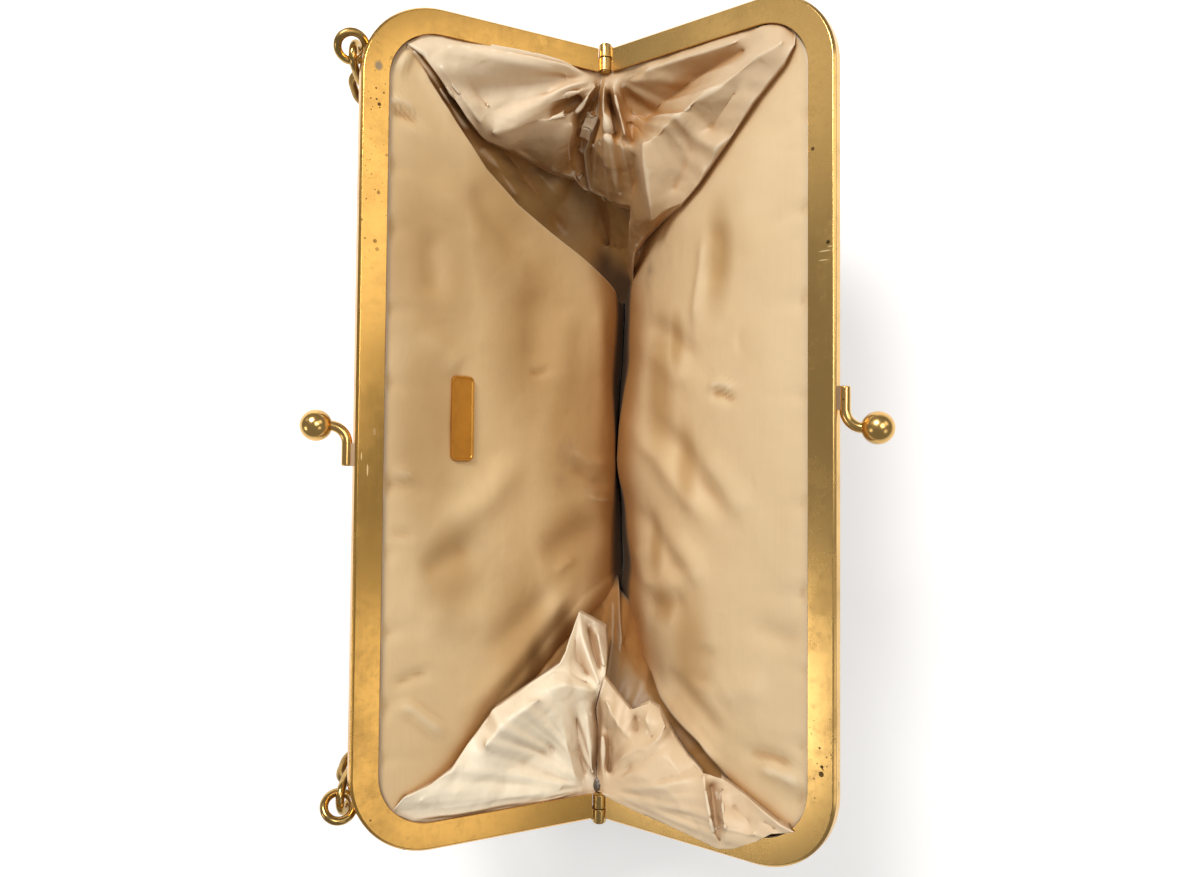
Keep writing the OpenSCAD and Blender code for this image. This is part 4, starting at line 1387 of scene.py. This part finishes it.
def rear_right_gusset(p):
    """Gathered cloth at the rear, from the hinge to the right corner and down to the crease."""
    split = seen_line([(603, 73, 61.2), (601, 84, 60.8), (598, 98.5, 58), (597, 121, 55.6), (588, 142, 50.8),
                       (584, 152, 46.8), (586, 172, 40.8), (589, 191, 35.8)])
    fall = seen_line([(612, 201, 37), (631, 207, 41), (629, 224, 38), (629, 240, 30), (628, 270, 14), (631.5, 287, 10)])
    edge = seen_line([(635, 252, 30), (647, 234, 41.5), (664, 217, 54), (681, 204, 63), (699, 182, 71.5),
                      (729, 139, 82), (755, 100, 89.5), (785, 63, 95.8), (794, 46, 97.2)])
    lines = seen_lines(
        [(642, 143, 67.5), (653, 136, 70.5), (689, 104, 81), (721, 86, 87.5), (757, 56, 95), (783, 42, 98)],
        [(642, 143, 67.5), (645, 175, 64), (650, 207, 59), (652, 221, 55), (664, 211, 58.5), (681, 204, 63)],
        [(589, 147, 51.5), (598, 139, 56.5), (606, 137, 58.5), (613, 142, 58), (635, 155, 55)],
        [(635, 155, 55), (636, 181, 47), (631, 207, 41)],
        [(600, 160, 51.5), (615, 172, 50.5), (618, 192, 43)],
        [(623, 98, 57.5), (632, 114, 54), (646, 119, 55), (667, 102, 61), (700, 76, 71.5), (745, 50, 86)],
        [(604, 86, 62.5), (602.5, 112, 61.5), (609, 130, 59.5)],
        [(608, 93, 55.5), (611.5, 110, 52), (616, 132, 52)],
        [(613, 87, 63), (619, 112, 62), (625, 136, 61)],
        [(630, 124, 54.5), (633, 143, 53.5)],
        [(684, 130, 73.5), (690, 152, 70), (674, 188, 62.5)],
        [(735, 92, 86), (712, 128, 77)])
    lines.append(rim_swell(p, RIGHT, REAR, (48, 40, 32, 24, 16)))
    outline = [*reversed(rim_line(p, RIGHT, REAR)), *reversed(edge), *reversed(fall), *reversed(split)]
    return fold_sheet(outline, lines, skirt=[edge, fall])


def rear_deep_fold(p):
    """Shaded cloth between the left panel's fold and the gusset, down to the crease."""
    top = seen_line([(408, 42, 96), (420, 44, 93.5), (440, 60, 88), (462, 86, 78), (482, 108, 67), (506, 132, 53),
                     (540, 155, 40), (572, 165, 33), (604, 178, 29), (634, 200, 32), (645, 228, 30)])
    low = seen_line([(640, 262, 16), (634, 300, 4), (604, 312, 3), (585, 292, 9), (556, 262, 19), (505, 222, 40),
                     (474, 184, 57), (450, 146, 70), (430, 110, 80.5), (413, 74, 90), (403, 56, 94.8)])
    return fold_sheet(top + low, seen_lines(
        [(414, 50, 94.8), (428, 70, 91), (446, 98, 84.5), (464, 126, 76)],
        [(480, 150, 64), (500, 168, 57), (514, 192, 48)],
        [(505, 155, 47), (530, 185, 36), (560, 225, 21)],
        [(540, 176, 38), (575, 212, 23), (605, 265, 8)],
        [(601, 194, 33), (609, 220, 24), (616, 250, 12)],
        [(594, 196, 25), (602, 222, 17), (610, 248, 9)],
        [(613, 196, 34), (619, 222, 26), (623, 250, 14)]))


def front_left_gusset(p):
    """Gathered cloth at the front, from the left corner to the hinge, with the tongue that stands up from it."""
    split = seen_line([(598, 792, 61), (596, 780, 60.5), (597, 752, 56), (597.5, 728, 56), (595, 709, 57),
                       (599, 692, 60)])
    tongue = seen_line([(605, 678, 58), (607, 650, 50), (606, 627, 45), (592, 619, 49), (579, 612, 52)])
    edge = seen_line([(566, 650, 60), (559, 664, 64), (525, 687, 70.5), (494, 708, 75.5), (466, 746, 82),
                      (450, 770, 87), (430, 785, 91), (405, 797, 95.5)])
    lines = seen_lines(
        [(579, 612, 52), (582, 637, 55.5), (590, 660, 58), (599, 684, 60.5)],
        [(574, 640, 55), (577, 660, 55.5), (588, 676, 56)],
        [(552, 688, 71.5), (566, 684, 69.5), (580, 687, 66), (595, 692, 61.5)],
        [(552, 672, 66.5), (570, 672, 62), (586, 684, 58.5)],
        [(562, 722, 68), (568, 750, 67), (576, 776, 65.5)],
        [(576, 718, 61.5), (579, 748, 60.5), (585, 773, 60.5)],
        [(586, 716, 62.5), (589, 746, 62.5), (592.5, 775, 62)],
        [(484, 747, 84.5), (506, 722, 80.5), (540, 698, 75.5)],
        [(470, 785, 84), (520, 764, 74), (552, 748, 66)],
        [(420, 800, 93.5), (440, 793, 89.5), (458, 792, 86.5)],
        [(588, 630, 46.5), (592, 648, 50.5), (599, 668, 54.5)],
        [(598, 634, 51), (601, 652, 54), (604, 666, 56.5)])
    lines.append(rim_swell(p, LEFT, FRONT))
    return fold_sheet(rim_line(p, LEFT, FRONT) + split + tongue + edge, lines, skirt=[edge, tongue])


def over_rail(p, side, bm, clear=0.3):
    """Keeps cloth that lies on a half's mating face above that face, by a clearance in mm."""
    half = half_matrix(p, side)
    back = half.inverted()
    for v in bm.verts:
        q = back @ v.co
        if math.hypot(max(0, q.x - p.cx), max(0, abs(q.y) - p.cy)) > p.inner_r - clear and q.z < clear:
            v.co = half @ Vector((q.x, q.y, clear))


def front_right_gusset(p):
    """Gathered cloth at the front, from the hinge to the right corner, which laps over the leg."""

    def on_leg(*points):
        return [on_band(p, RIGHT, *q) for q in points]

    split = seen_line([(598, 792, 61.3), (596.5, 780, 61), (597.5, 752, 56.5), (598, 728, 56.5), (596, 709, 57.6),
                       (600, 692, 60.6)])
    twist = seen_line([(604, 677, 59.5), (619, 696, 59.5), (631, 710, 61)])
    edge = seen_line([(641, 706, 63), (650, 702.5, 65), (660, 709, 64.5), (675, 737, 69), (689, 757, 74),
                      (703, 773, 79.5)])
    far = seen_line([(722, 779, 81.5), (744, 795, 87), (762, 810, 92.6), (780, 824, 96.6), (795, 832, 98.2)])
    over = on_leg((783, 833.5, 0.5), (772, 834, 1.6), (757, 842, 1.6), (734, 849.5, 1.8), (717, 849.5, 1.8),
                  (687, 835, 1.7), (663, 824, 1.3), (642, 814, 0.9), (622, 804, 0.6), (609, 797, 0.3))
    lines = seen_lines(
        [(650, 702.5, 65), (645, 720, 68), (652, 737, 69)],
        [(660, 709, 64.5), (666, 726, 71), (656, 741, 72), (640, 748, 70), (622, 757, 66)],
        [(636, 716, 60.5), (637, 730, 62)],
        [(606, 700, 62), (615, 722, 63.5), (628, 738, 64)],
        [(607, 728, 58), (610, 750, 58.5), (608.5, 773, 59.5)],
        [(602.5, 736, 61.5), (603.5, 757, 62.5), (603, 779, 62.5)],
        [(621, 778, 65.5), (630, 768, 66.5)])
    lines += [
        seen_line([(703, 773, 80.5), (707, 797, 86.5)]) + on_leg((712, 825, 4.8), (717, 849.5, 1.8)),
        seen_line([(711, 786, 79.5), (713.5, 805, 83.5)]) + on_leg((716.5, 828, 2.2), (719.5, 842, 1.5)),
        seen_line([(721, 787, 83), (722, 806, 87)]) + on_leg((723.5, 828, 4.4), (726.5, 845, 2.4)),
        seen_line([(734, 806, 86), (748, 820, 89.5)]) + on_leg((753, 835, 2.6)),
    ]
    lines += seen_lines(
        [(640, 775, 72.5), (668, 790, 78.5), (690, 815, 82.5)],
        [(668, 757, 75), (688, 785, 80)],
        [(765, 822, 92.5), (776, 829, 95)])
    bm = fold_sheet(split + twist + edge + far + over, lines, skirt=[twist, edge, far, over])
    over_rail(p, RIGHT, bm)
    return bm


def front_left_deep_fold(p):
    """Shaded cloth under the front left gusset, down to the crease."""
    outline = seen_line([(440, 772, 80), (470, 730, 70), (505, 688, 58), (540, 640, 42), (570, 600, 24), (596, 575, 9),
                         (618, 575, 8), (622, 640, 30), (616, 700, 44), (598, 760, 48), (540, 760, 60), (480, 775, 74)])
    return fold_sheet(outline, seen_lines(
        [(500, 715, 64), (545, 670, 52), (585, 620, 28)],
        [(560, 700, 56), (590, 660, 40), (606, 610, 16)]))


def front_right_deep_fold(p):
    """Shaded cloth under the front right gusset, down to the crease."""
    outline = seen_line([(600, 760, 46), (604, 690, 44), (612, 640, 32), (612, 580, 8), (630, 600, 10),
                         (648, 650, 20), (678, 705, 44), (708, 745, 60), (735, 786, 72), (760, 815, 82),
                         (720, 815, 74), (650, 790, 58)])
    return fold_sheet(outline, seen_lines(
        [(622, 640, 26), (640, 680, 40), (680, 740, 55)],
        [(610, 700, 42), (632, 726, 46), (690, 775, 62)]))


# Cloth that stands above the mating face when open; how far below that face it would be pressed when shut, where out
# from the hinge axis that depth is taken, both in mm, and the share of its height that it keeps
PUFFED, SHUT_DEPTH, PRESS_OUT, PRESS_KEEP = ("front_right_gusset", "rear_left_gusset"), 1.8, 30, 0.1
# Folded cloth: maker, side, CAD node that it stands for, cut size and cut area in metres
GUSSETS = {
    "rear_left_gusset": (rear_left_gusset, LEFT, "lining_rear_gusset", (0.075, 0.060), 0.0029),
    "rear_right_gusset": (rear_right_gusset, RIGHT, None, (0.090, 0.085), 0.0048),
    "front_left_gusset": (front_left_gusset, LEFT, "lining_front_gusset", (0.080, 0.065), 0.0030),
    "front_right_gusset": (front_right_gusset, RIGHT, None, (0.075, 0.060), 0.0024),
    "rear_deep_fold": (rear_deep_fold, LEFT, None, (0.095, 0.070), 0.0036),
    "front_left_deep_fold": (front_left_deep_fold, LEFT, None, (0.080, 0.055), 0.0025),
    "front_right_deep_fold": (front_right_deep_fold, RIGHT, None, (0.075, 0.050), 0.0019),
}


class CLUTCH_OT_lining_gussets(bpy.types.Operator):
    """Builds the folded satin gussets at both ends of the lining"""

    bl_idname = "clutch.lining_gussets"
    bl_label = "Lining gussets"

    def execute(self, context):
        p = plan()
        walls = body_walls(p)
        for name, (maker, side, node, flat, area) in GUSSETS.items():
            bm = maker(p)
            keep_inside(p, bm, walls)
            deep = "deep" in name
            kind = name.split("_")[0] + ("_deep" if deep else "")
            piece = make_piece(name, bm, gusset_satin(kind, side), hard=0)
            thicken(piece, context.scene.clutch_sizes.cloth, -1)
            half = SIDE_NAME[side]
            if name in PUFFED:
                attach(piece, f"{half}_half")
                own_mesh(piece)
            else:
                blend_cloth(piece)
            if node:
                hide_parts(node)
        return {"FINISHED"}


# Label plate in mm: length, width, thickness, corner radius, width of its lip, slope and depth of the field inside it
PLATE_L, PLATE_W, PLATE_T, PLATE_R, PLATE_LIP, FIELD_SLOPE, FIELD_DEEP = 26, 8, 0.8, 1.7, 0.6, 0.12, 0.26
# Its place along the hinge axis in mm, its share of the way down the panel, and the gap to the cloth in mm
PLATE_Y, PLATE_V, PLATE_GAP = 2.0, 0.222, 0.05
# Pixel of its middle and pixels to a mm there
PLATE_U, PLATE_PIXEL_V, PLATE_PIXELS = 461, 420, 3.3


class CLUTCH_OT_plate(bpy.types.Operator):
    """Builds the bare label plate on the left lining panel"""

    bl_idname = "clutch.plate"
    bl_label = "Label plate"

    def execute(self, context):
        p = plan()
        bm = bmesh.new()
        slab(bm, PLATE_W, PLATE_L, PLATE_T, PLATE_R, 8)
        top = [f for f in bm.faces if f.normal.z > 0.9]
        bmesh.ops.inset_region(bm, faces=top, thickness=PLATE_LIP, depth=0)
        bmesh.ops.inset_region(bm, faces=top, thickness=FIELD_SLOPE, depth=-FIELD_DEEP)
        round_edges(bm, 0.1, 2, 40)
        above, here, below = (panel_point(p, LEFT, PLATE_Y, PLATE_V + step) for step in (-0.04, 0, 0.04))
        down = (below - above).normalized()
        along = Vector((0, 1, 0))
        out = down.cross(along).normalized()
        turn = Matrix((down, along, out)).transposed().to_4x4()
        lift = max(panel_bumps(LEFT, PLATE_Y + dy, PLATE_V, Vector((PLATE_U, PLATE_PIXEL_V - PLATE_PIXELS * dy)))
                   for dy in (-13, -6, 0, 6, 13))
        bmesh.ops.transform(bm, matrix=Matrix.Translation(here + out * (lift + PLATE_GAP)) @ turn, verts=bm.verts)
        piece = make_piece("bare_plate", bm, gilt_material())
        blend_cloth(piece)
        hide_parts("label_plate")
        return {"FINISHED"}


# Outer body --------------------------------------------------------------------------------------

# Base panel in mm: width, length, thickness and corner radius
BASE_W, BASE_L, BASE_T, BASE_R = 46, 210, 1.6, 9
# Body in mm: gap to the channel, gap between layers, thickness of the leather, depth of its rim below the mating face,
# swell of the panels, fold of the gussets, length of the pinch under a hinge and how far in it lies
RIM_GAP, LAYER, LEATHER, SHELL_DIP = 0.35, 0.35, 1.2, 2.85
SHELL_SWELL, SHELL_FOLD, PINCH_LEN, PINCH_IN = 5, 4, 9, 5
# Share of the way down the side seam at which a gusset's corner starts
SEAM_TOP = 0.06


def body_panel(p, side, u, v):
    """Inner side of an outer panel: u along the hinge axis, v from the rim down to the base."""
    r = p.inner_r - RIM_GAP
    y = u * (p.cy + r * math.sin(math.pi / 4))
    rim = on_half(p, side, rim_out(p, y, r), y, SHELL_DIP)
    foot = Vector((side * (BASE_W / 2 - RIM_GAP - LEATHER), u * (BASE_L / 2 - LEATHER - LAYER),
                   BASE_T + RIM_GAP + LEATHER))
    swell = SHELL_SWELL * math.sin(math.pi * v) * (1 - abs(u) ** 4)
    return rim.lerp(foot, v) + downhill(p, side) * swell


def body_gusset(p, end, u, v):
    """Inner side of an outer gusset: u from the left corner under the hinge to the right corner."""
    side = LEFT if u < 0 else RIGHT
    r = p.inner_r - RIM_GAP - LEATHER
    arc = r * math.pi / 4
    run = (1 - abs(u)) * (arc + p.cx)
    turn = math.pi / 4 + min(run, arc) / r
    s = max(0, p.cx + r * math.cos(turn) - max(0, run - arc))
    pinch = math.exp(-(s / PINCH_LEN) ** 2)
    y = p.cy + r * math.sin(turn) - (PINCH_IN - p.band / 2 + LAYER) * pinch
    rim = on_half(p, side, s, y, SHELL_DIP * (1 - pinch))
    rim.z -= (p.barrel / 2 + LAYER + 0.5) * pinch
    seam = body_panel(p, side, 1, 1 + (SEAM_TOP - 1) * abs(u) ** 1.25) + Vector((0, LAYER, 0))
    at = rim.lerp(seam, v)
    at.y -= SHELL_FOLD * math.sin(math.pi * v ** 0.8) * (1 - abs(u) ** 1.1)
    at.y *= end
    return at


# Share of a gusset's grid that is its wing, and how far in its middle is folded, in mm
WING, MIDDLE_FOLD = 0.72, 5
# Grids of an outer panel and of a gusset: columns and rows
SHELL_GRID, GUSSET_GRID = (110, 46), (84, 46)


def body_skins(p):
    """Grids of the outer panels and gussets, facing outwards: name, side, end, bmesh."""

    def panel(side, a, b):
        at = body_panel(p, side, 2 * a - 1, b)
        soft = noise.noise(Vector((a * 5, b * 3, side * 2.0))) * 1.2 * smooth_step(b * 6) * smooth_step((1 - b) * 6)
        return at + downhill(p, side) * soft * smooth_step((1 - abs(2 * a - 1)) * 6)

    def gusset(side, end, a, b):
        """Wing from a corner to under the hinge, then the flat middle, folded in along its centre line."""
        at = body_gusset(p, end, side * max(1e-6, 1 - a / WING), b)
        if a > WING:
            t = (a - WING) / (1 - WING)
            at.x *= 1 - t
            at.y -= end * MIDDLE_FOLD * t * math.sin(math.pi * b)
        return at

    made = []
    for side, half in SIDE_NAME.items():
        made.append((f"{half}_body_panel", side, 0, grid_of(
            SHELL_GRID, lambda a, b: panel(side, a, b), Vector((side, 0, -0.5)))))
        for end, name in END_NAME.items():
            made.append((f"{name}_{half}_body_gusset", side, end, grid_of(
                GUSSET_GRID, lambda a, b: gusset(side, end, a, b), Vector((0, end, -0.3)))))
    return made


def grid_of(size, place, outward):
    """Grid whose points come from place(u, v), both from 0 to 1, facing outward."""
    bm = bmesh.new()
    columns, rows = size
    for vert in bmesh.ops.create_grid(bm, x_segments=columns, y_segments=rows, size=0.5)["verts"]:
        vert.co = place(vert.co.x + 0.5, 0.5 - vert.co.y)
    bm.normal_update()
    face_to(bm, outward)
    return bm


# Gap between lining and body, depth of the channels below the mating face, how far out past the corner centre the
# lining is held at the side seam, and the distance past which cloth is not near the body, in mm
LINING_GAP, CHANNEL_LOW, SEAM_FROM, FAR_INSIDE = 0.6, 2.6, 4, 20


def body_walls(p):
    """Search trees of the outer panels and gussets."""
    return [BVHTree.FromBMesh(skin) for _, _, _, skin in body_skins(p)]


def keep_inside(p, bm, walls):
    """Moves cloth that stands outside the body, below the channels, back inside it."""
    halves = {side: half_matrix(p, side).inverted() for side in SIDE_NAME}
    top, foot = (body_panel(p, RIGHT, 1, v) for v in (0, 1))
    for v in bm.verts:
        for _ in range(3):
            at = halves[LEFT if v.co.x < 0 else RIGHT] @ v.co
            if at.z > -CHANNEL_LOW:
                break
            seam = foot.y + (top.y - foot.y) * (v.co.z - foot.z) / (top.z - foot.z) - LINING_GAP
            if at.x > p.cx + SEAM_FROM and abs(v.co.y) > seam:
                v.co.y = math.copysign(seam, v.co.y)
            hit, normal, _, gap = min((wall.find_nearest(v.co) for wall in walls), key=lambda found: found[3])
            if (v.co - hit).dot(normal) < -LINING_GAP or gap > FAR_INSIDE:
                break
            v.co = hit - normal * (LINING_GAP + 0.05)


class CLUTCH_OT_body(bpy.types.Operator):
    """Builds the plain leather body round the lining"""

    bl_idname = "clutch.body"
    bl_label = "Outer body"

    def execute(self, context):
        p = plan()
        hide = leather_material()
        for name, side, end, grid in body_skins(p):
            piece = make_piece(name, grid, hide, hard=0)
            thicken(piece, context.scene.clutch_sizes.leather, 1)
            blend_cloth(piece)
            if not end:
                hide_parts(f"shell_{SIDE_NAME[side]}_panel")
            elif side == LEFT:
                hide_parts(f"shell_{END_NAME[end]}_gusset")
        bm = bmesh.new()
        slab(bm, BASE_W, BASE_L, BASE_T, BASE_R, 14)
        round_edges(bm, 0.5, 3, 40)
        fit(make_piece("body_base", bm, hide), "bag", "shell_base")
        return {"FINISHED"}


# Stage -------------------------------------------------------------------------------------------

WARM_WHITE = (1.0, 0.97, 0.92)
# Soft boxes: name, place in mm, size in mm, radiance and tint
LIGHTS = [
    ("key", (-260, 540, 830), (320, 320), 20.5, (1.0, 0.98, 0.95)),
    ("over_right", (300, 150, 860), (300, 300), 5.2, WARM_WHITE),
    ("right_far", (650, 370, 690), (360, 440), 1.3, WARM_WHITE),
    ("right_near", (660, -370, 740), (320, 320), 1.1, WARM_WHITE),
    ("left_near", (-870, -335, 600), (280, 260), 2.9, WARM_WHITE),
    ("left_far", (-800, 520, 600), (260, 260), 0.6, WARM_WHITE),
]
# Point in metres that the soft boxes face, half width of the floor and its gap to the base in mm
LIT_POINT, FLOOR_HALF, FLOOR_GAP = Vector((0, 0, 0.08)), 4000, 0.05
# Room light and pale backdrop: tint and strength
ROOM, BACKDROP = ((1.0, 0.99, 0.97, 1), 0.24), ((1.0, 1.0, 1.0, 1), 0.96)


class CLUTCH_OT_stage(bpy.types.Operator):
    """Sets up the pale floor, the soft boxes and the camera over the mouth"""

    bl_idname = "clutch.stage"
    bl_label = "Stage"

    def execute(self, context):
        scene = context.scene
        bm = bmesh.new()
        bmesh.ops.create_grid(bm, x_segments=4, y_segments=4, size=FLOOR_HALF)
        shift(bm, (0, 0, -FLOOR_GAP))
        floor = make_piece("floor", bm, floor_material(), hard=0)
        for name, at, size, radiance, tint in LIGHTS:
            lamp = bpy.data.lights.new(name, "AREA")
            lamp.shape = "RECTANGLE"
            lamp.size, lamp.size_y = (s * MM for s in size)
            lamp.energy = radiance * math.pi * lamp.size * lamp.size_y
            lamp.color = tint
            rig = bpy.data.objects.new(name, lamp)
            rig.location = Vector(at) * MM
            rig.rotation_euler = (LIT_POINT - rig.location).to_track_quat("-Z", "Y").to_euler()
            scene.collection.objects.link(rig)
        world = scene.world or bpy.data.worlds.new("room")
        scene.world = world
        world.use_nodes = True
        tree = world.node_tree
        sky = tree.nodes["Background"]
        sky.inputs["Color"].default_value, sky.inputs["Strength"].default_value = ROOM
        pale = add(tree, "ShaderNodeBackground", dict(zip(("Color", "Strength"), BACKDROP)))
        eye = add(tree, "ShaderNodeLightPath")
        shown = add(tree, "ShaderNodeMixShader",
                    {0: eye.outputs["Is Camera Ray"], 1: sky.outputs[0], 2: pale.outputs[0]})
        tree.links.new(shown.outputs[0], tree.nodes["World Output"].inputs["Surface"])
        lens = bpy.data.cameras.new("mouth_view")
        lens.sensor_width = SENSOR_MM
        lens.lens = SENSOR_MM * PHOTO_F / PHOTO_W
        lens.clip_start, lens.clip_end = 0.01, 50
        camera = bpy.data.objects.new("mouth_view", lens)
        camera.matrix_world = Matrix.Translation(CAMERA_AT * MM) @ FROM_CAMERA.to_4x4()
        scene.collection.objects.link(camera)
        scene.camera = camera
        scene.view_settings.view_transform = "Standard"
        return {"FINISHED"}


class CLUTCH_PT_parts(bpy.types.Panel):
    """Lists the steps that build the clutch"""

    bl_label = "Frame clutch"
    bl_idname = "CLUTCH_PT_parts"
    bl_space_type = "VIEW_3D"
    bl_region_type = "UI"
    bl_category = "Clutch"

    def draw(self, context):
        for step in STEPS:
            self.layout.operator(step.bl_idname)
        for group in (context.scene.clutch_sizes, context.scene.clutch_colours):
            box = self.layout.box()
            for key in group.__annotations__:
                box.prop(group, key)


STEPS = [CLUTCH_OT_stage, CLUTCH_OT_frame, CLUTCH_OT_hinges, CLUTCH_OT_clasp, CLUTCH_OT_chain,
         CLUTCH_OT_lining_panels, CLUTCH_OT_lining_gussets, CLUTCH_OT_plate, CLUTCH_OT_body]
CLASSES = [ClutchSizes, ClutchColours, *STEPS, CLUTCH_PT_parts]


def register():
    for cls in CLASSES:
        bpy.utils.register_class(cls)
    bpy.types.Scene.clutch_sizes = bpy.props.PointerProperty(type=ClutchSizes)
    bpy.types.Scene.clutch_colours = bpy.props.PointerProperty(type=ClutchColours)


def unregister():
    del bpy.types.Scene.clutch_colours
    del bpy.types.Scene.clutch_sizes
    for cls in reversed(CLASSES):
        bpy.utils.unregister_class(cls)


def main():
    register()
    for step in STEPS:
        group, name = step.bl_idname.split(".")
        getattr(getattr(bpy.ops, group), name)()


if __name__ == "__main__":
    main()
